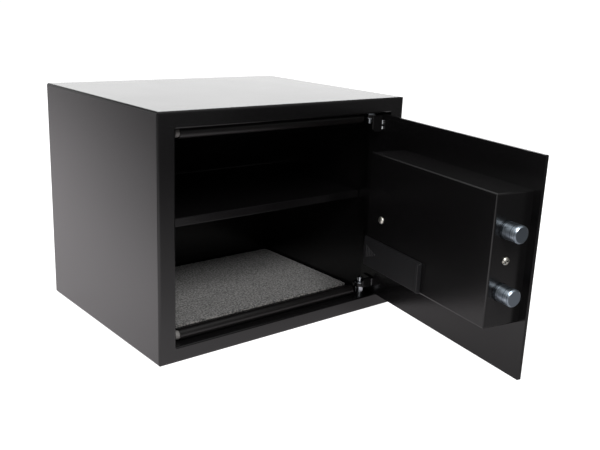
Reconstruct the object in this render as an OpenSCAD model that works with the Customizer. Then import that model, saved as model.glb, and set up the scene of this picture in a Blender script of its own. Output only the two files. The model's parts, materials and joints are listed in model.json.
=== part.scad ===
/* [Cabinet] */
// Outside width of the cabinet
body_w = 380; // [360:1:440]
// Outside depth of the cabinet
body_d = 300; // [290:1:360]
// Outside height of the cabinet
body_h = 300; // [296:1:340]
// Thickness of the cabinet's sheet
sheet = 2; // [1.5:0.5:2.5]
// Outside radius of the cabinet's bends
bend_r = 3; // [3:0.5:4]
// Width of the left and right jambs of the front frame
jamb_w = 22.5; // [21:0.5:26]
// Height of the top and bottom rails of the front frame
rail_h = 20; // [18:0.5:22]
// How far the rails' return lips reach back from the front
rail_lip = 28; // [28:0.5:32]
// Diameter of the guard bars behind the rails
bar_dia = 14; // [10:0.5:14]
// Depth of the guard bars' axes behind the front
bar_depth = 18; // [14:0.5:18]

/* [Shelf and mat] */
// Height of the shelf's upper face
shelf_z = 154.5; // [120:0.5:180]
// Depth of the shelf's front edge behind the front
shelf_front = 75; // [70:1:90]
// Height of the shelf's front lip
shelf_lip = 11.5; // [8:0.5:20]
// Thickness of the felt mat
mat_t = 3; // [2:0.5:5]
// Depth of the mat's front edge behind the front
mat_front = 86; // [40:1:120]

/* [Fixing holes] */
// Diameter of the wall and floor fixing holes
fixing_dia = 10; // [8:0.5:12]
// Distance between the two holes of each pair
fixing_pitch = 200; // [120:5:260]
// Height of the wall fixing holes
wall_fixing_z = 120; // [60:5:135]

/* [Door] */
// Thickness of the door plate
door_t = 4; // [4:0.5:5]
// Gap round the door plate
door_gap = 1.9; // [1.5:0.1:2.5]
// How far the door stands open at rest, in degrees
door_open = 78.9; // [0:0.1:96]
// Distance of the hinge axis from the cabinet's right side
hinge_inset = 44.2; // [42:0.1:48]
// Depth of the hinge axis behind the front
hinge_depth = 17.7; // [17:0.1:18]
// Diameter of the hinge pins
pin_dia = 8; // [6:0.5:9]
// Thickness of the hinge leaves
leaf_t = 4; // [3:0.5:5]

/* [Lock] */
// Width of the lock cover
cover_w = 237.5; // [234:0.5:240]
// Height of the lock cover
cover_h = 150.5; // [148:0.5:156]
// Depth of the lock cover on the door's inner face
cover_d = 50; // [50:0.5:52]
// Distance of the lock cover's latch side from the door's latch edge
cover_edge = 10.6; // [10:0.1:12]
// Height of the lock cover's lower side
cover_z = 88; // [86:0.5:92]
// Thickness of the lock cover's sheet
cover_t = 1.5; // [1:0.1:1.6]
// Diameter of the bolts
bolt_dia = 20; // [18:0.5:20]
// Distance between the bolts
bolt_pitch = 70; // [66:1:74]
// Depth of the bolts' axes behind the front
bolt_depth = 35.5; // [35:0.1:36]
// How far the thrown bolts stand out of the lock cover
bolt_reach = 22; // [20:0.5:23]
// Module of the rack and pinion
gear_module = 1; // [0.9:0.05:1.1]
// Teeth on the pinion
pinion_teeth = 16; // [15:1:17]

/* [Keypad] */
// Width of the keypad fascia
fascia_w = 180; // [178:1:190]
// Height of the keypad fascia
fascia_h = 120; // [118:1:130]
// Thickness of the keypad fascia
fascia_t = 15; // [15:0.5:16]
// Width of a key
key_w = 18; // [14:0.5:19]
// Height of a key
key_h = 14; // [10:0.5:15]
// How far a key travels
key_travel = 1.5; // [1:0.1:1.5]

/* [Hidden] */
$fn = 48;
cut = 1;

// Finishes
black_coat = "#2b2a2a";
zinc = "#c9ced2";
black_plastic = "#3a3a3c";
dark_plastic = "#232325";
grey_felt = "#8d8b88";
steel_grey = "#8f9296";
board_green = "#1f5a3a";
brass = "#b89a58";
cell_blue = "#4a5a78";
rubber_grey = "#55565a";
key_grey = "#d0d2d4";

// Front opening
open_left = -body_w / 2 + jamb_w;
open_right = body_w / 2 - jamb_w;
open_low = rail_h;
open_high = body_h - rail_h;
open_w = open_right - open_left;
open_h = open_high - open_low;
bolt_play = 1;
jamb_lip = bolt_depth - bolt_dia / 2 - bolt_play;
frame_edge_r = 2.5;

// Hinges
hinge_x = body_w / 2 - hinge_inset;
running_gap = 0.05;
upper_shoulder = 2.5;
lower_shoulder = 10;
shoulder_r = 6;
washer_room = 1;
washer_t = washer_room - running_gap;
ring_r = 8;
loose_gap = 0.3;
collar_t = 1.5;
pin_head_t = 2;
pin_head_r = 6;
pin_stand = 7;
pin_chamfer = 1;
leaf_r = 10;
bracket_t = 3;
upper_bracket_h = 22;
lower_bracket_h = 13;
bracket_latch_side = 11.5;
bracket_hinge_side = 10;
bracket_reach = hinge_depth + 2.8 - door_t;
bracket_corner = 4;

// Guard bars, shelf and mat
bar_left = open_left + 12.7;
bar_right = hinge_x - 17.8;
cap_inset = 1.5;
cap_t = 5.5;
cap_edge = 2;
cap_stem_r = 2.5;
cap_stem_l = 8;
ledge_w = 15;
ledge_t = 1.5;
ledge_l = 190;
ledge_front = shelf_front + 17;
shelf_t = 1.2;
shelf_side_gap = 1.5;
shelf_back_gap = 6;
shelf_hem = 4;
mat_side_gap = 4;
mat_corner_r = 6;

// Door plate
door_left = open_left + door_gap;
door_right = open_right - door_gap;
door_low = open_low + door_gap;
door_high = open_high - door_gap;
door_corner_r = 1.5;

// Lock cover and its screws
cover_left = door_left + cover_edge;
cover_right = cover_left + cover_w;
cover_high = cover_z + cover_h;
cover_face = door_t + cover_d;
cover_inside = cover_face - cover_t;
cover_edge_r = 2;
cover_inner_r = 0.5;
screw_r = 1.5;
screw_bore_r = screw_r + running_gap;
screw_hole_r = 2.2;
screw_head_r = 4;
screw_head_t = 2.4;
screw_head_edge = 0.8;
cover_screw_r = 2.5;
cover_screw_bore_r = cover_screw_r + running_gap;
cover_screw_hole_r = 3;
cover_screw_head_r = 4.75;
cover_screw_head_t = 3;
side_screw_depth = 33;
side_screw_l = 9;
face_screw_x = 50;
face_screw_z = 156;
face_screw_l = 10;
post_r = 5;
tab_w = 16;
tab_t = 2;
tab_foot = 18;
tab_d = 41;
tab_x = cover_right - cover_t - 2;

// Bolts, guide and carriage
bolt_mid = cover_z + cover_h / 2;
bolt_zs = [bolt_mid - bolt_pitch / 2, bolt_mid + bolt_pitch / 2];
bolt_hole_gap = 0.6;
bolt_tip = cover_left - bolt_reach;
bolt_l = 70;
bolt_back = bolt_tip + bolt_l;
bolt_chamfer = 1.6;
bolt_screw_r = 2.5;
bolt_screw_l = 16;
bolt_screw_head_r = 5;
bolt_screw_head_t = 4;
guide_t = 3;
guide_left = cover_left + 5;
guide_w = 32;
guide_h = 119;
guide_d = 46;
carriage_t = 4;
carriage_w = 19;
carriage_h = 96;

// Rack and pinion
pitch_r = gear_module * pinion_teeth / 2;
tooth_pitch = PI * gear_module;
pressure_angle = 20;
tooth_backlash = 0.12;
rack_addendum = 0.9 * gear_module;
dedendum = 1.25 * gear_module;
base_r = pitch_r * cos(pressure_angle);
tip_r = pitch_r + gear_module;
root_r = pitch_r - dedendum;
gear_low = 31.5;
gear_t = 8;
pinion_x = bolt_back + 47;
pitch_line = bolt_mid - 5.5;
pinion_z = pitch_line - pitch_r;
rack_l = 53;
rack_h = 9;
rack_behind = 9;
rack_ahead = 2;
shaft_r = 2.5;
shaft_in = 9;
shaft_out = 2;

// Gear motor
gearbox_size = 32;
gearbox_corner_r = 3;
gearbox_low = door_t + 3;
gearbox_high = 29;
foot_w = 20;
foot_h = 48;
foot_screw_z = 20;
foot_screw_l = 6;
motor_r = 12;
motor_l = 36;
motor_boss_r = 4;
motor_boss_l = 3;

// Battery bay
cell_r = 7.25;
cell_l = 50.5;
nub_r = 2.75;
nub_l = 1.3;
contact_t = 0.4;
contact_w = 10;
spring_l = 2.4;
spring_r = 3.5;
bay_wall = 1.2;
bay_gap = 0.2;
bay_l = cell_l + spring_l + 2 * contact_t;
tray_l = 2 * bay_l + 3 * bay_wall;
tray_left = cover_right - cover_t - bay_gap - tray_l;
tray_low = cover_z + 2;
tray_h = 4 * cell_r + 2 * bay_gap + 2 * bay_wall;
tray_floor = 34;
tray_rim = cover_inside - 2.1;
leg_w = 10;
leg_inset = 8;
bay_low = tray_low + bay_wall;
bay_high = tray_low + tray_h - bay_wall;
bay_left = tray_left + bay_wall;
bay_right = tray_left + tray_l - bay_wall;
bay_mid_z = (bay_low + bay_high) / 2;
cell_depth = tray_floor + bay_wall + cell_r;

// Battery lid
lid_left = tray_left - 10;
lid_right = cover_right - 0.2;
lid_low = cover_z + 0.2;
lid_high = cover_z + 39;
lid_t = 2.2;
lid_face = cover_face + 0.1;
lid_corner_r = 1.5;
lid_lip_w = 4;
lid_lip_h = 3.5;
lid_travel = 12;
lid_ribs = 6;
lid_rib_pitch = 3.8;
lid_rib_w = 1.4;
lid_rib_h = 0.9;
lid_arrow_h = 16;
lid_arrow_inset = 6;
hook_w = 5;
hook_reach = 1.2;
hook_stem = 1.4;
hook_gap = 0.3;
hook_t = 1.5;
hook_xs = [bay_left + 32, bay_right - 18];

// Keypad fascia
fascia_mid_x = -45;
fascia_mid_z = bolt_mid;
fascia_low = fascia_mid_z - fascia_h / 2;
fascia_wall = 2.5;
fascia_inside = fascia_wall - fascia_t;
fascia_corner_r = 10;
fascia_edge_r = 2.5;
fascia_inner_r = 0.5;
boss_r = 4.5;
boss_x = 66;
boss_z = 50;
boss_bore_l = 9;
fascia_screw_l = door_t + 8;
fascia_screws_at = [for (x = [-1, 1], z = [-1, 1]) [fascia_mid_x + x * boss_x, fascia_mid_z + z * boss_z]];

// Keys
key_r = 2;
key_gap = 0.4;
key_proud = 2.5;
key_flange = 1.2;
key_flange_t = 1.2;
key_seat_gap = 0.1;
key_stem_r = 3;
key_columns = 3;
key_pitch_x = 23;
key_pitch_z = 20;
key_first_x = fascia_mid_x + 20;
key_first_z = fascia_mid_z + 30;
key_count = 12;
key_dish_r = 40;
key_dish = 0.6;

// Boards, display and port behind the fascia
board_t = 1.6;
board_front = -4.9;
board_left = fascia_mid_x - 83;
board_right = fascia_mid_x + 86;
board_low = fascia_mid_z - 41.5;
board_high = fascia_mid_z + 42.5;
key_mat_t = 2;
key_mat_front = board_front - key_mat_t;
mat_post_r = 2.5;
mat_post_inset = 4;
stem_end = key_mat_front - key_seat_gap - key_travel;
window_w = 66;
window_h = 32;
window_r = 2.2;
window_gap = 0.2;
window_x = fascia_mid_x - 49;
window_z = fascia_mid_z + 22;
module_margin = 1;
digits = 4;
digit_pitch = 14;
digit_w = 9;
digit_h = 16;
digit_deep = 0.6;
port_w = 12;
port_t = 4;
port_wall = 0.8;
port_deep = 8;
port_lap = 4;
port_x = fascia_mid_x - 50;
slot_x = fascia_mid_x + 46;
slot_z = fascia_mid_z + 36;
slot_w = 24;
slot_h = 8;
ribbon_w = 20;
ribbon_t = 0.8;

// Control board under the lock cover
control_left = -25;
control_right = 70;
control_low = bolt_mid + 6.5;
control_high = cover_high - 6.5;
control_depth = door_t + 5;
control_front = control_depth + board_t;
spacer_r = 3;
spacer_inset = 5;

// Moves a piece from the front plane to the cabinet's own frame
module in_cabinet() {
    translate([0, -body_d / 2, 0]) children();
}

// Swings a piece that is drawn on the closed door to the rest pose
module on_door() {
    in_cabinet() translate([hinge_x, hinge_depth, 0]) rotate([0, 0, door_open])
        translate([-hinge_x, -hinge_depth, 0]) children();
}

// Turns a piece at the lower rail over to make the one at the upper rail
module at_upper_rail() {
    translate([0, 0, body_h]) mirror([0, 0, 1]) children();
}

// Extrudes a profile drawn in X and Z along Y, from the front backwards
module along_y(length) {
    translate([0, length, 0]) rotate([90, 0, 0]) linear_extrude(length) children();
}

// Extrudes a profile drawn in Y and Z along X
module along_x(length) {
    rotate([90, 0, 90]) linear_extrude(length) children();
}

// Round bar along Y
module rod_y(length, radius) {
    rotate([-90, 0, 0]) cylinder(h = length, r = radius);
}

// Round bar along X
module rod_x(length, radius) {
    rotate([0, 90, 0]) cylinder(h = length, r = radius);
}

// Box between two corners
module box(low, high) {
    translate(low) cube(high - low);
}

module rounded_rect(w, h, r) {
    square([w - 2 * r, h], center = true);
    square([w, h - 2 * r], center = true);
    for (x = [-1, 1], y = [-1, 1])
        translate([x * (w / 2 - r), y * (h / 2 - r)]) circle(r = r);
}

// Rectangle from the origin whose two corners at x = 0 are round
module nosed_rect(w, h, r) {
    translate([r, 0]) square([w - r, h]);
    translate([0, r]) square([r, h - 2 * r]);
    for (y = [r, h - r]) translate([r, y]) circle(r = r);
}

// Block centred in X and Z, from y = 0 backwards, whose front edges and long edges are round
module nosed_block(w, d, h, corner_r, edge_r) {
    intersection() {
        along_y(d) rounded_rect(w, h, corner_r);
        translate([-w / 2, 0, -h / 2]) along_x(w) nosed_rect(d, h, edge_r);
        translate([w / 2, 0, -h / 2]) linear_extrude(h) rotate(90) nosed_rect(d, w, edge_r);
    }
}

// What rounding takes off a square corner whose solid lies at +X and -Y
module edge_waste(r) {
    difference() {
        translate([-cut, -r]) square(r + cut);
        translate([r, -r]) circle(r = r);
    }
}

// Pan-head screw along Z, with its head's seat at z = 0
module pan_screw(length, shank_r, head_r, head_t) {
    rotate_extrude() polygon([[0, -length], [shank_r, -length], [shank_r, 0], [head_r, 0],
        [head_r, head_t - screw_head_edge], [head_r - screw_head_edge, head_t], [0, head_t]]);
}

module small_screw(length) {
    pan_screw(length, screw_r, screw_head_r, screw_head_t);
}

module cover_screw(length) {
    pan_screw(length, cover_screw_r, cover_screw_head_r, cover_screw_head_t);
}

module rail_lip_plate() {
    cube([open_w + sheet, rail_lip, sheet]);
}

module rail_edge_waste() {
    along_x(open_w) edge_waste(frame_edge_r);
}

// Sheet wrap with its folded front frame, return lips, pin holes and floor fixing holes
module cabinet_shell() {
    color(black_coat) in_cabinet() difference() {
        union() {
            difference() {
                translate([0, 0, body_h / 2]) nosed_block(body_w, body_d, body_h, bend_r, bend_r);
                translate([0, sheet, body_h / 2]) nosed_block(body_w - 2 * sheet, body_d,
                    body_h - 2 * sheet, bend_r - sheet, bend_r - sheet);
                box([open_left, -cut, open_low], [open_right, sheet + cut, open_high]);
            }
            translate([open_left - sheet, 0, open_low - sheet]) rail_lip_plate();
            translate([open_left - sheet, 0, open_high]) rail_lip_plate();
            translate([open_left - sheet, 0, open_low - sheet]) cube([sheet, jamb_lip, open_h + 2 * sheet]);
        }
        translate([open_left, 0, open_low]) rail_edge_waste();
        translate([open_left, 0, open_high]) mirror([0, 0, 1]) rail_edge_waste();
        translate([open_left, 0, open_low]) linear_extrude(open_h) rotate(180) edge_waste(frame_edge_r);
        for (z = [open_low - sheet, open_high]) translate([hinge_x, hinge_depth, z - cut])
            cylinder(h = sheet + 2 * cut, r = pin_dia / 2);
        for (x = [-1, 1]) translate([x * fixing_pitch / 2, body_d / 2, -cut])
            cylinder(h = sheet + 2 * cut, r = fixing_dia / 2);
    }
}

module back_panel() {
    color(black_coat) in_cabinet() difference() {
        translate([0, body_d - sheet, body_h / 2]) along_y(sheet)
            rounded_rect(body_w - 2 * sheet, body_h - 2 * sheet, bend_r - sheet);
        for (x = [-1, 1]) translate([x * fixing_pitch / 2, body_d - sheet - cut, wall_fixing_z])
            rod_y(sheet + 2 * cut, fixing_dia / 2);
    }
}

// Bar welded on the lower rail's lip, bored at its latch end for the cap
module guard_bar() {
    translate([bar_left, bar_depth, open_low + bar_dia / 2]) difference() {
        rod_x(bar_right - bar_left, bar_dia / 2);
        translate([-cut, 0, 0]) rod_x(cut + cap_stem_l + loose_gap, cap_stem_r + running_gap);
    }
}

// Round cap with a stem that is pushed into the bar
module bar_end_cap() {
    cap_r = bar_dia / 2 - cap_inset;
    translate([bar_left, bar_depth, open_low + bar_dia / 2]) rotate([0, 90, 0]) rotate_extrude()
        polygon([[0, -cap_t], [cap_r - cap_edge, -cap_t], [cap_r - cap_edge * 0.3, cap_edge * 0.3 - cap_t],
            [cap_r, cap_edge - cap_t], [cap_r, 0], [cap_stem_r, 0], [cap_stem_r, cap_stem_l],
            [0, cap_stem_l]]);
}

module bottom_guard_bar() {
    color(black_coat) in_cabinet() guard_bar();
}

module top_guard_bar() {
    color(black_coat) in_cabinet() at_upper_rail() guard_bar();
}

module bar_end_caps() {
    color(rubber_grey) in_cabinet() {
        bar_end_cap();
        at_upper_rail() bar_end_cap();
    }
}

// Shouldered dowel through the rail lip, peened below it
module hinge_pin(shoulder) {
    pin_r = pin_dia / 2;
    top = shoulder + washer_room + leaf_t + collar_t + pin_stand;
    translate([hinge_x, hinge_depth, open_low]) rotate_extrude() polygon([[0, -sheet - pin_head_t],
        [pin_head_r, -sheet - pin_head_t], [pin_head_r, -sheet], [pin_r, -sheet], [pin_r, 0], [shoulder_r, 0],
        [shoulder_r, shoulder], [pin_r, shoulder], [pin_r, top - pin_chamfer], [pin_r - pin_chamfer, top],
        [0, top]]);
}

module lower_hinge_pin() {
    color(zinc) in_cabinet() hinge_pin(lower_shoulder);
}

module upper_hinge_pin() {
    color(zinc) in_cabinet() at_upper_rail() hinge_pin(upper_shoulder);
}

module pin_ring(low, thick) {
    translate([hinge_x, hinge_depth, open_low + low]) difference() {
        cylinder(h = thick, r = ring_r);
        translate([0, 0, -cut]) cylinder(h = thick + 2 * cut, r = pin_dia / 2 + loose_gap);
    }
}

module thrust_washers() {
    color(zinc) in_cabinet() {
        pin_ring(lower_shoulder, washer_t);
        at_upper_rail() pin_ring(upper_shoulder, washer_t);
    }
}

module shelf_ledge() {
    in_cabinet() translate([body_w / 2 - sheet, ledge_front, shelf_z - shelf_t]) {
        box([-ledge_w, 0, -ledge_t], [0, ledge_l, 0]);
        box([-ledge_t, 0, -ledge_w], [0, ledge_l, 0]);
    }
}

module right_shelf_ledge() {
    color(black_coat) shelf_ledge();
}

module left_shelf_ledge() {
    color(black_coat) mirror([1, 0, 0]) shelf_ledge();
}

// Folded sheet: top, front lip and the hem turned in under the lip
module shelf() {
    half_w = body_w / 2 - sheet - shelf_side_gap;
    shelf_l = body_d - sheet - shelf_back_gap - shelf_front;
    color(black_coat) in_cabinet() translate([-half_w, shelf_front, shelf_z])
        along_x(2 * half_w) difference() {
        union() {
            translate([0, -shelf_t]) square([shelf_l, shelf_t]);
            translate([0, -shelf_lip]) square([shelf_t, shelf_lip]);
            translate([0, -shelf_lip]) square([shelf_hem, shelf_t]);
        }
        edge_waste(shelf_t);
        translate([0, -shelf_lip]) mirror([0, 1]) edge_waste(shelf_t);
    }
}

module floor_mat() {
    mat_w = body_w - 2 * sheet - 2 * mat_side_gap;
    mat_d = body_d - sheet - mat_side_gap - mat_front;
    color(grey_felt) in_cabinet() translate([0, mat_front + mat_d / 2, sheet])
        linear_extrude(mat_t) rounded_rect(mat_w, mat_d, mat_corner_r);
}

module door_plate() {
    mid = [(door_left + door_right) / 2, 0, (door_low + door_high) / 2];
    color(black_coat) on_door() difference() {
        translate(mid) along_y(door_t)
            rounded_rect(door_right - door_left, door_high - door_low, door_corner_r);
        translate([slot_x, -cut, slot_z]) along_y(door_t + 2 * cut) rounded_rect(slot_w, slot_h, slot_h / 4);
        for (p = fascia_screws_at) translate([p.x, -cut, p.y]) rod_y(door_t + 2 * cut, screw_hole_r);
        for (z = [-1, 1]) translate([pinion_x, gearbox_low - foot_screw_l, pinion_z + z * foot_screw_z])
            rod_y(foot_screw_l, screw_bore_r);
    }
}

// Plan of the bracket's angle: a plate on the door's inner face and a web bent up at its latch side
module bracket_plan() {
    nose = bracket_t / 2;
    difference() {
        union() {
            square([bracket_latch_side + bracket_hinge_side, bracket_t]);
            square([bracket_t, bracket_reach - nose]);
            translate([nose, bracket_reach - nose]) circle(r = nose);
        }
        mirror([0, 1]) edge_waste(bracket_t);
    }
}

// Angle welded to the door, with a bored leaf that stands on the pin's shoulder
module hinge_bracket(shoulder, height) {
    low = open_low + shoulder + washer_room;
    difference() {
        union() {
            translate([hinge_x - bracket_latch_side, door_t, low]) difference() {
                linear_extrude(height) bracket_plan();
                translate([-cut, bracket_reach, height]) along_x(bracket_t + 2 * cut) rotate(45)
                    square(bracket_corner * sqrt(2), center = true);
            }
            translate([hinge_x, 0, low]) linear_extrude(leaf_t) {
                translate([-leaf_r, door_t]) square([2 * leaf_r, hinge_depth - door_t]);
                translate([0, hinge_depth]) circle(r = leaf_r);
            }
        }
        translate([hinge_x, hinge_depth, low - cut])
            cylinder(h = leaf_t + 2 * cut, r = pin_dia / 2 + running_gap);
    }
}

module lower_hinge_bracket() {
    color(black_coat) on_door() hinge_bracket(lower_shoulder, lower_bracket_h);
}

module upper_hinge_bracket() {
    color(black_coat) on_door() at_upper_rail() hinge_bracket(upper_shoulder, upper_bracket_h);
}

module hinge_collars() {
    color(zinc) on_door() {
        pin_ring(lower_shoulder + washer_room + leaf_t, collar_t);
        at_upper_rail() pin_ring(upper_shoulder + washer_room + leaf_t, collar_t);
    }
}

// U bracket welded to the door, bored for both bolts
module bolt_guide() {
    color(steel_grey) on_door() translate([guide_left, door_t, 0]) difference() {
        translate([0, 0, bolt_mid - guide_h / 2]) linear_extrude(guide_h) {
            square([guide_w, guide_t]);
            for (x = [0, guide_w - guide_t]) translate([x, 0]) square([guide_t, guide_d]);
        }
        for (z = bolt_zs) translate([-cut, bolt_depth - door_t, z])
            rod_x(guide_w + 2 * cut, bolt_dia / 2 + running_gap);
        translate([-cut, side_screw_depth - door_t, bolt_mid])
            rod_x(guide_t + 2 * cut, cover_screw_bore_r);
    }
}

module cover_post() {
    color(steel_grey) on_door() translate([face_screw_x, door_t, face_screw_z]) difference() {
        rod_y(cover_inside - door_t, post_r);
        translate([0, cover_inside - door_t - face_screw_l, 0])
            rod_y(face_screw_l + cut, cover_screw_bore_r);
    }
}

module cover_tab() {
    color(steel_grey) on_door() translate([tab_x, door_t, bolt_mid]) difference() {
        translate([0, 0, -tab_w / 2]) linear_extrude(tab_w) {
            translate([-tab_foot, 0]) square([tab_foot, tab_t]);
            translate([-tab_t, 0]) square([tab_t, tab_d]);
        }
        translate([-tab_t - cut, side_screw_depth - door_t, 0])
            rod_x(tab_t + 2 * cut, cover_screw_bore_r);
    }
}

// Folded sheet box, open towards the door, with the battery bay's window and its hook notches
module lock_cover() {
    mid = [(cover_left + cover_right) / 2, cover_face, (cover_z + cover_high) / 2];
    color(black_coat) on_door() difference() {
        translate(mid) mirror([0, 1, 0]) nosed_block(cover_w, cover_d, cover_h, cover_edge_r, cover_edge_r);
        translate([mid.x, cover_inside, mid.z]) mirror([0, 1, 0])
            nosed_block(cover_w - 2 * cover_t, cover_d, cover_h - 2 * cover_t, cover_inner_r, cover_inner_r);
        for (z = bolt_zs) translate([cover_left - cut, bolt_depth, z])
            rod_x(cover_t + 2 * cut, bolt_dia / 2 + bolt_hole_gap);
        for (x = [cover_left, cover_right - cover_t]) translate([x - cut, side_screw_depth, bolt_mid])
            rod_x(cover_t + 2 * cut, cover_screw_hole_r);
        translate([face_screw_x, cover_inside - cut, face_screw_z])
            rod_y(cover_t + 2 * cut, cover_screw_hole_r);
        box([bay_left, cover_inside - cut, bay_low], [bay_right, cover_face + cut, bay_high]);
        for (x = hook_xs) translate([x - lid_travel, cover_inside - cut, bay_mid_z])
            along_y(cover_t + 2 * cut)
                square([hook_w + 1, bay_high - bay_low + 2 * hook_reach + 1], center = true);
    }
}

module cover_screws() {
    color(zinc) on_door() {
        translate([face_screw_x, cover_face, face_screw_z]) rotate([-90, 0, 0]) cover_screw(face_screw_l);
        translate([cover_left, side_screw_depth, bolt_mid]) rotate([0, -90, 0]) cover_screw(side_screw_l);
        translate([cover_right, side_screw_depth, bolt_mid]) rotate([0, 90, 0]) cover_screw(side_screw_l);
    }
}

// Open tray with two bays, on two moulded legs
module battery_tray() {
    color(black_plastic) on_door() difference() {
        union() {
            box([tray_left, tray_floor, tray_low], [tray_left + tray_l, tray_rim, tray_low + tray_h]);
            for (x = [tray_left + leg_inset, tray_left + tray_l - leg_inset - leg_w])
                box([x, door_t, bay_mid_z - leg_w / 2],
                    [x + leg_w, tray_floor + bay_wall, bay_mid_z + leg_w / 2]);
        }
        for (i = [0, 1]) translate([bay_left + i * (bay_l + bay_wall), tray_floor + bay_wall, bay_low])
            cube([bay_l, tray_rim, bay_high - bay_low]);
    }
}

// Places a piece in each of the four cell places, turned end for end in the upper row
module in_each_bay() {
    for (i = [0, 1], row = [0, 1]) {
        mid_x = bay_left + i * (bay_l + bay_wall) + bay_l / 2;
        mid_z = bay_mid_z + (row - 0.5) * (2 * cell_r + bay_gap);
        translate([mid_x, cell_depth, mid_z]) rotate([0, 0, row * 180])
            translate([-bay_l / 2, 0, 0]) children();
    }
}

module battery_cells() {
    color(cell_blue) on_door() in_each_bay() translate([contact_t, 0, 0]) {
        rod_x(nub_l, nub_r);
        translate([nub_l, 0, 0]) rod_x(cell_l - nub_l, cell_r);
    }
}

module battery_contacts() {
    color(zinc) on_door() in_each_bay() {
        translate([0, -contact_w / 2, -contact_w / 2]) cube([contact_t, contact_w, contact_w]);
        translate([bay_l - contact_t, -contact_w / 2, -contact_w / 2])
            cube([contact_t, contact_w, contact_w]);
        translate([bay_l - contact_t - spring_l, 0, 0]) rod_x(spring_l, spring_r);
    }
}

// Plain housing with a screwed foot and the output shaft's bore
module gearbox() {
    color(dark_plastic) on_door() translate([pinion_x, 0, pinion_z]) difference() {
        union() {
            translate([0, gearbox_low, 0]) along_y(gearbox_high - gearbox_low)
                rounded_rect(gearbox_size, gearbox_size, gearbox_corner_r);
            translate([0, door_t, 0]) along_y(gearbox_low - door_t)
                rounded_rect(foot_w, foot_h, gearbox_corner_r);
        }
        for (z = [-1, 1]) translate([0, door_t - cut, z * foot_screw_z]) rod_y(foot_screw_l, screw_hole_r);
        translate([0, gearbox_high - shaft_in, 0]) rod_y(shaft_in + cut, shaft_r + running_gap);
    }
}

module gearbox_screws() {
    color(zinc) on_door() for (z = [-1, 1])
        translate([pinion_x, gearbox_low, pinion_z + z * foot_screw_z])
            rotate([-90, 0, 0]) small_screw(foot_screw_l);
}

module motor() {
    mid_depth = (gearbox_low + gearbox_high) / 2;
    color(steel_grey) on_door() translate([pinion_x + gearbox_size / 2, mid_depth, pinion_z]) {
        rod_x(motor_l, motor_r);
        translate([motor_l, 0, 0]) rod_x(motor_boss_l, motor_boss_r);
    }
}

// Board with its chip, connector, sounder and capacitor soldered on
module circuit_board() {
    color(board_green) on_door() {
        box([control_left, control_depth, control_low], [control_right, control_front, control_high]);
        translate([control_left + 20, control_front, control_low + 22]) cube([18, 3, 18]);
        translate([control_left + 50, control_front, control_low + 6]) cube([30, 9, 8]);
        translate([control_right - 16, control_front, control_high - 16]) rod_y(8, 6);
        translate([control_left + 14, control_front, control_low + 12]) rod_y(12, 5);
    }
}

module board_spacers() {
    color(brass) on_door() for (x = [control_left + spacer_inset, control_right - spacer_inset],
        z = [control_low + spacer_inset, control_high - spacer_inset])
        translate([x, door_t, z]) rod_y(control_depth - door_t, spacer_r);
}

function key_at(i) = [key_first_x + (i % key_columns) * key_pitch_x,
    key_first_z - floor(i / key_columns) * key_pitch_z];

// Moulded front shell with key and display windows, screw bosses and posts that press on the key mat
module keypad_fascia() {
    mid = [fascia_mid_x, 0, fascia_mid_z];
    posts = [for (x = [fascia_mid_x + mat_post_inset, board_right - mat_post_inset],
        z = [board_low + mat_post_inset, board_high - mat_post_inset]) [x, z]];
    color(dark_plastic) on_door() difference() {
        union() {
            translate(mid) difference() {
                translate([0, -fascia_t, 0])
                    nosed_block(fascia_w, fascia_t, fascia_h, fascia_corner_r, fascia_edge_r);
                translate([0, fascia_inside, 0]) nosed_block(fascia_w - 2 * fascia_wall, fascia_t,
                    fascia_h - 2 * fascia_wall, fascia_corner_r - fascia_wall, fascia_inner_r);
            }
            for (p = fascia_screws_at) translate([p.x, fascia_inside, p.y]) rod_y(-fascia_inside, boss_r);
            for (p = posts) translate([p.x, fascia_inside, p.y])
                rod_y(key_mat_front - fascia_inside, mat_post_r);
        }
        for (p = fascia_screws_at) translate([p.x, -boss_bore_l, p.y]) rod_y(boss_bore_l + cut, screw_bore_r);
        for (i = [0 : key_count - 1]) translate([key_at(i).x, -fascia_t - cut, key_at(i).y])
            along_y(fascia_wall + 2 * cut)
                rounded_rect(key_w + 2 * key_gap, key_h + 2 * key_gap, key_r + key_gap);
        translate([window_x, -fascia_t - cut, window_z]) along_y(fascia_wall + 2 * cut)
            rounded_rect(window_w, window_h, window_r);
        translate([port_x, board_front - port_t / 2, fascia_low - cut]) linear_extrude(fascia_wall + 2 * cut)
            rounded_rect(port_w + 1, port_t + 1, 1);
    }
}

module display_window() {
    color(dark_plastic) on_door() translate([window_x, -fascia_t, window_z]) along_y(fascia_wall)
        rounded_rect(window_w - 2 * window_gap, window_h - 2 * window_gap, window_r - window_gap);
}

// Four-digit display block on the keypad board, behind the window
module display_module() {
    half_w = window_w / 2 - module_margin;
    half_h = window_h / 2 - module_margin;
    color(dark_plastic) on_door() translate([window_x, 0, window_z]) difference() {
        box([-half_w, fascia_inside, -half_h], [half_w, board_front, half_h]);
        for (i = [0 : digits - 1]) translate([(i - (digits - 1) / 2) * digit_pitch, fascia_inside - cut, 0])
            along_y(digit_deep + cut) square([digit_w, digit_h], center = true);
    }
}

module keypad_board() {
    color(board_green) on_door()
        box([board_left, board_front, board_low], [board_right, board_front + board_t, board_high]);
}

module key_mat() {
    color(rubber_grey) on_door()
        box([fascia_mid_x, key_mat_front, board_low], [board_right, board_front, board_high]);
}

module fascia_screws() {
    color(zinc) on_door() for (p = fascia_screws_at) translate([p.x, door_t, p.y])
        rotate([-90, 0, 0]) small_screw(fascia_screw_l);
}

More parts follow.
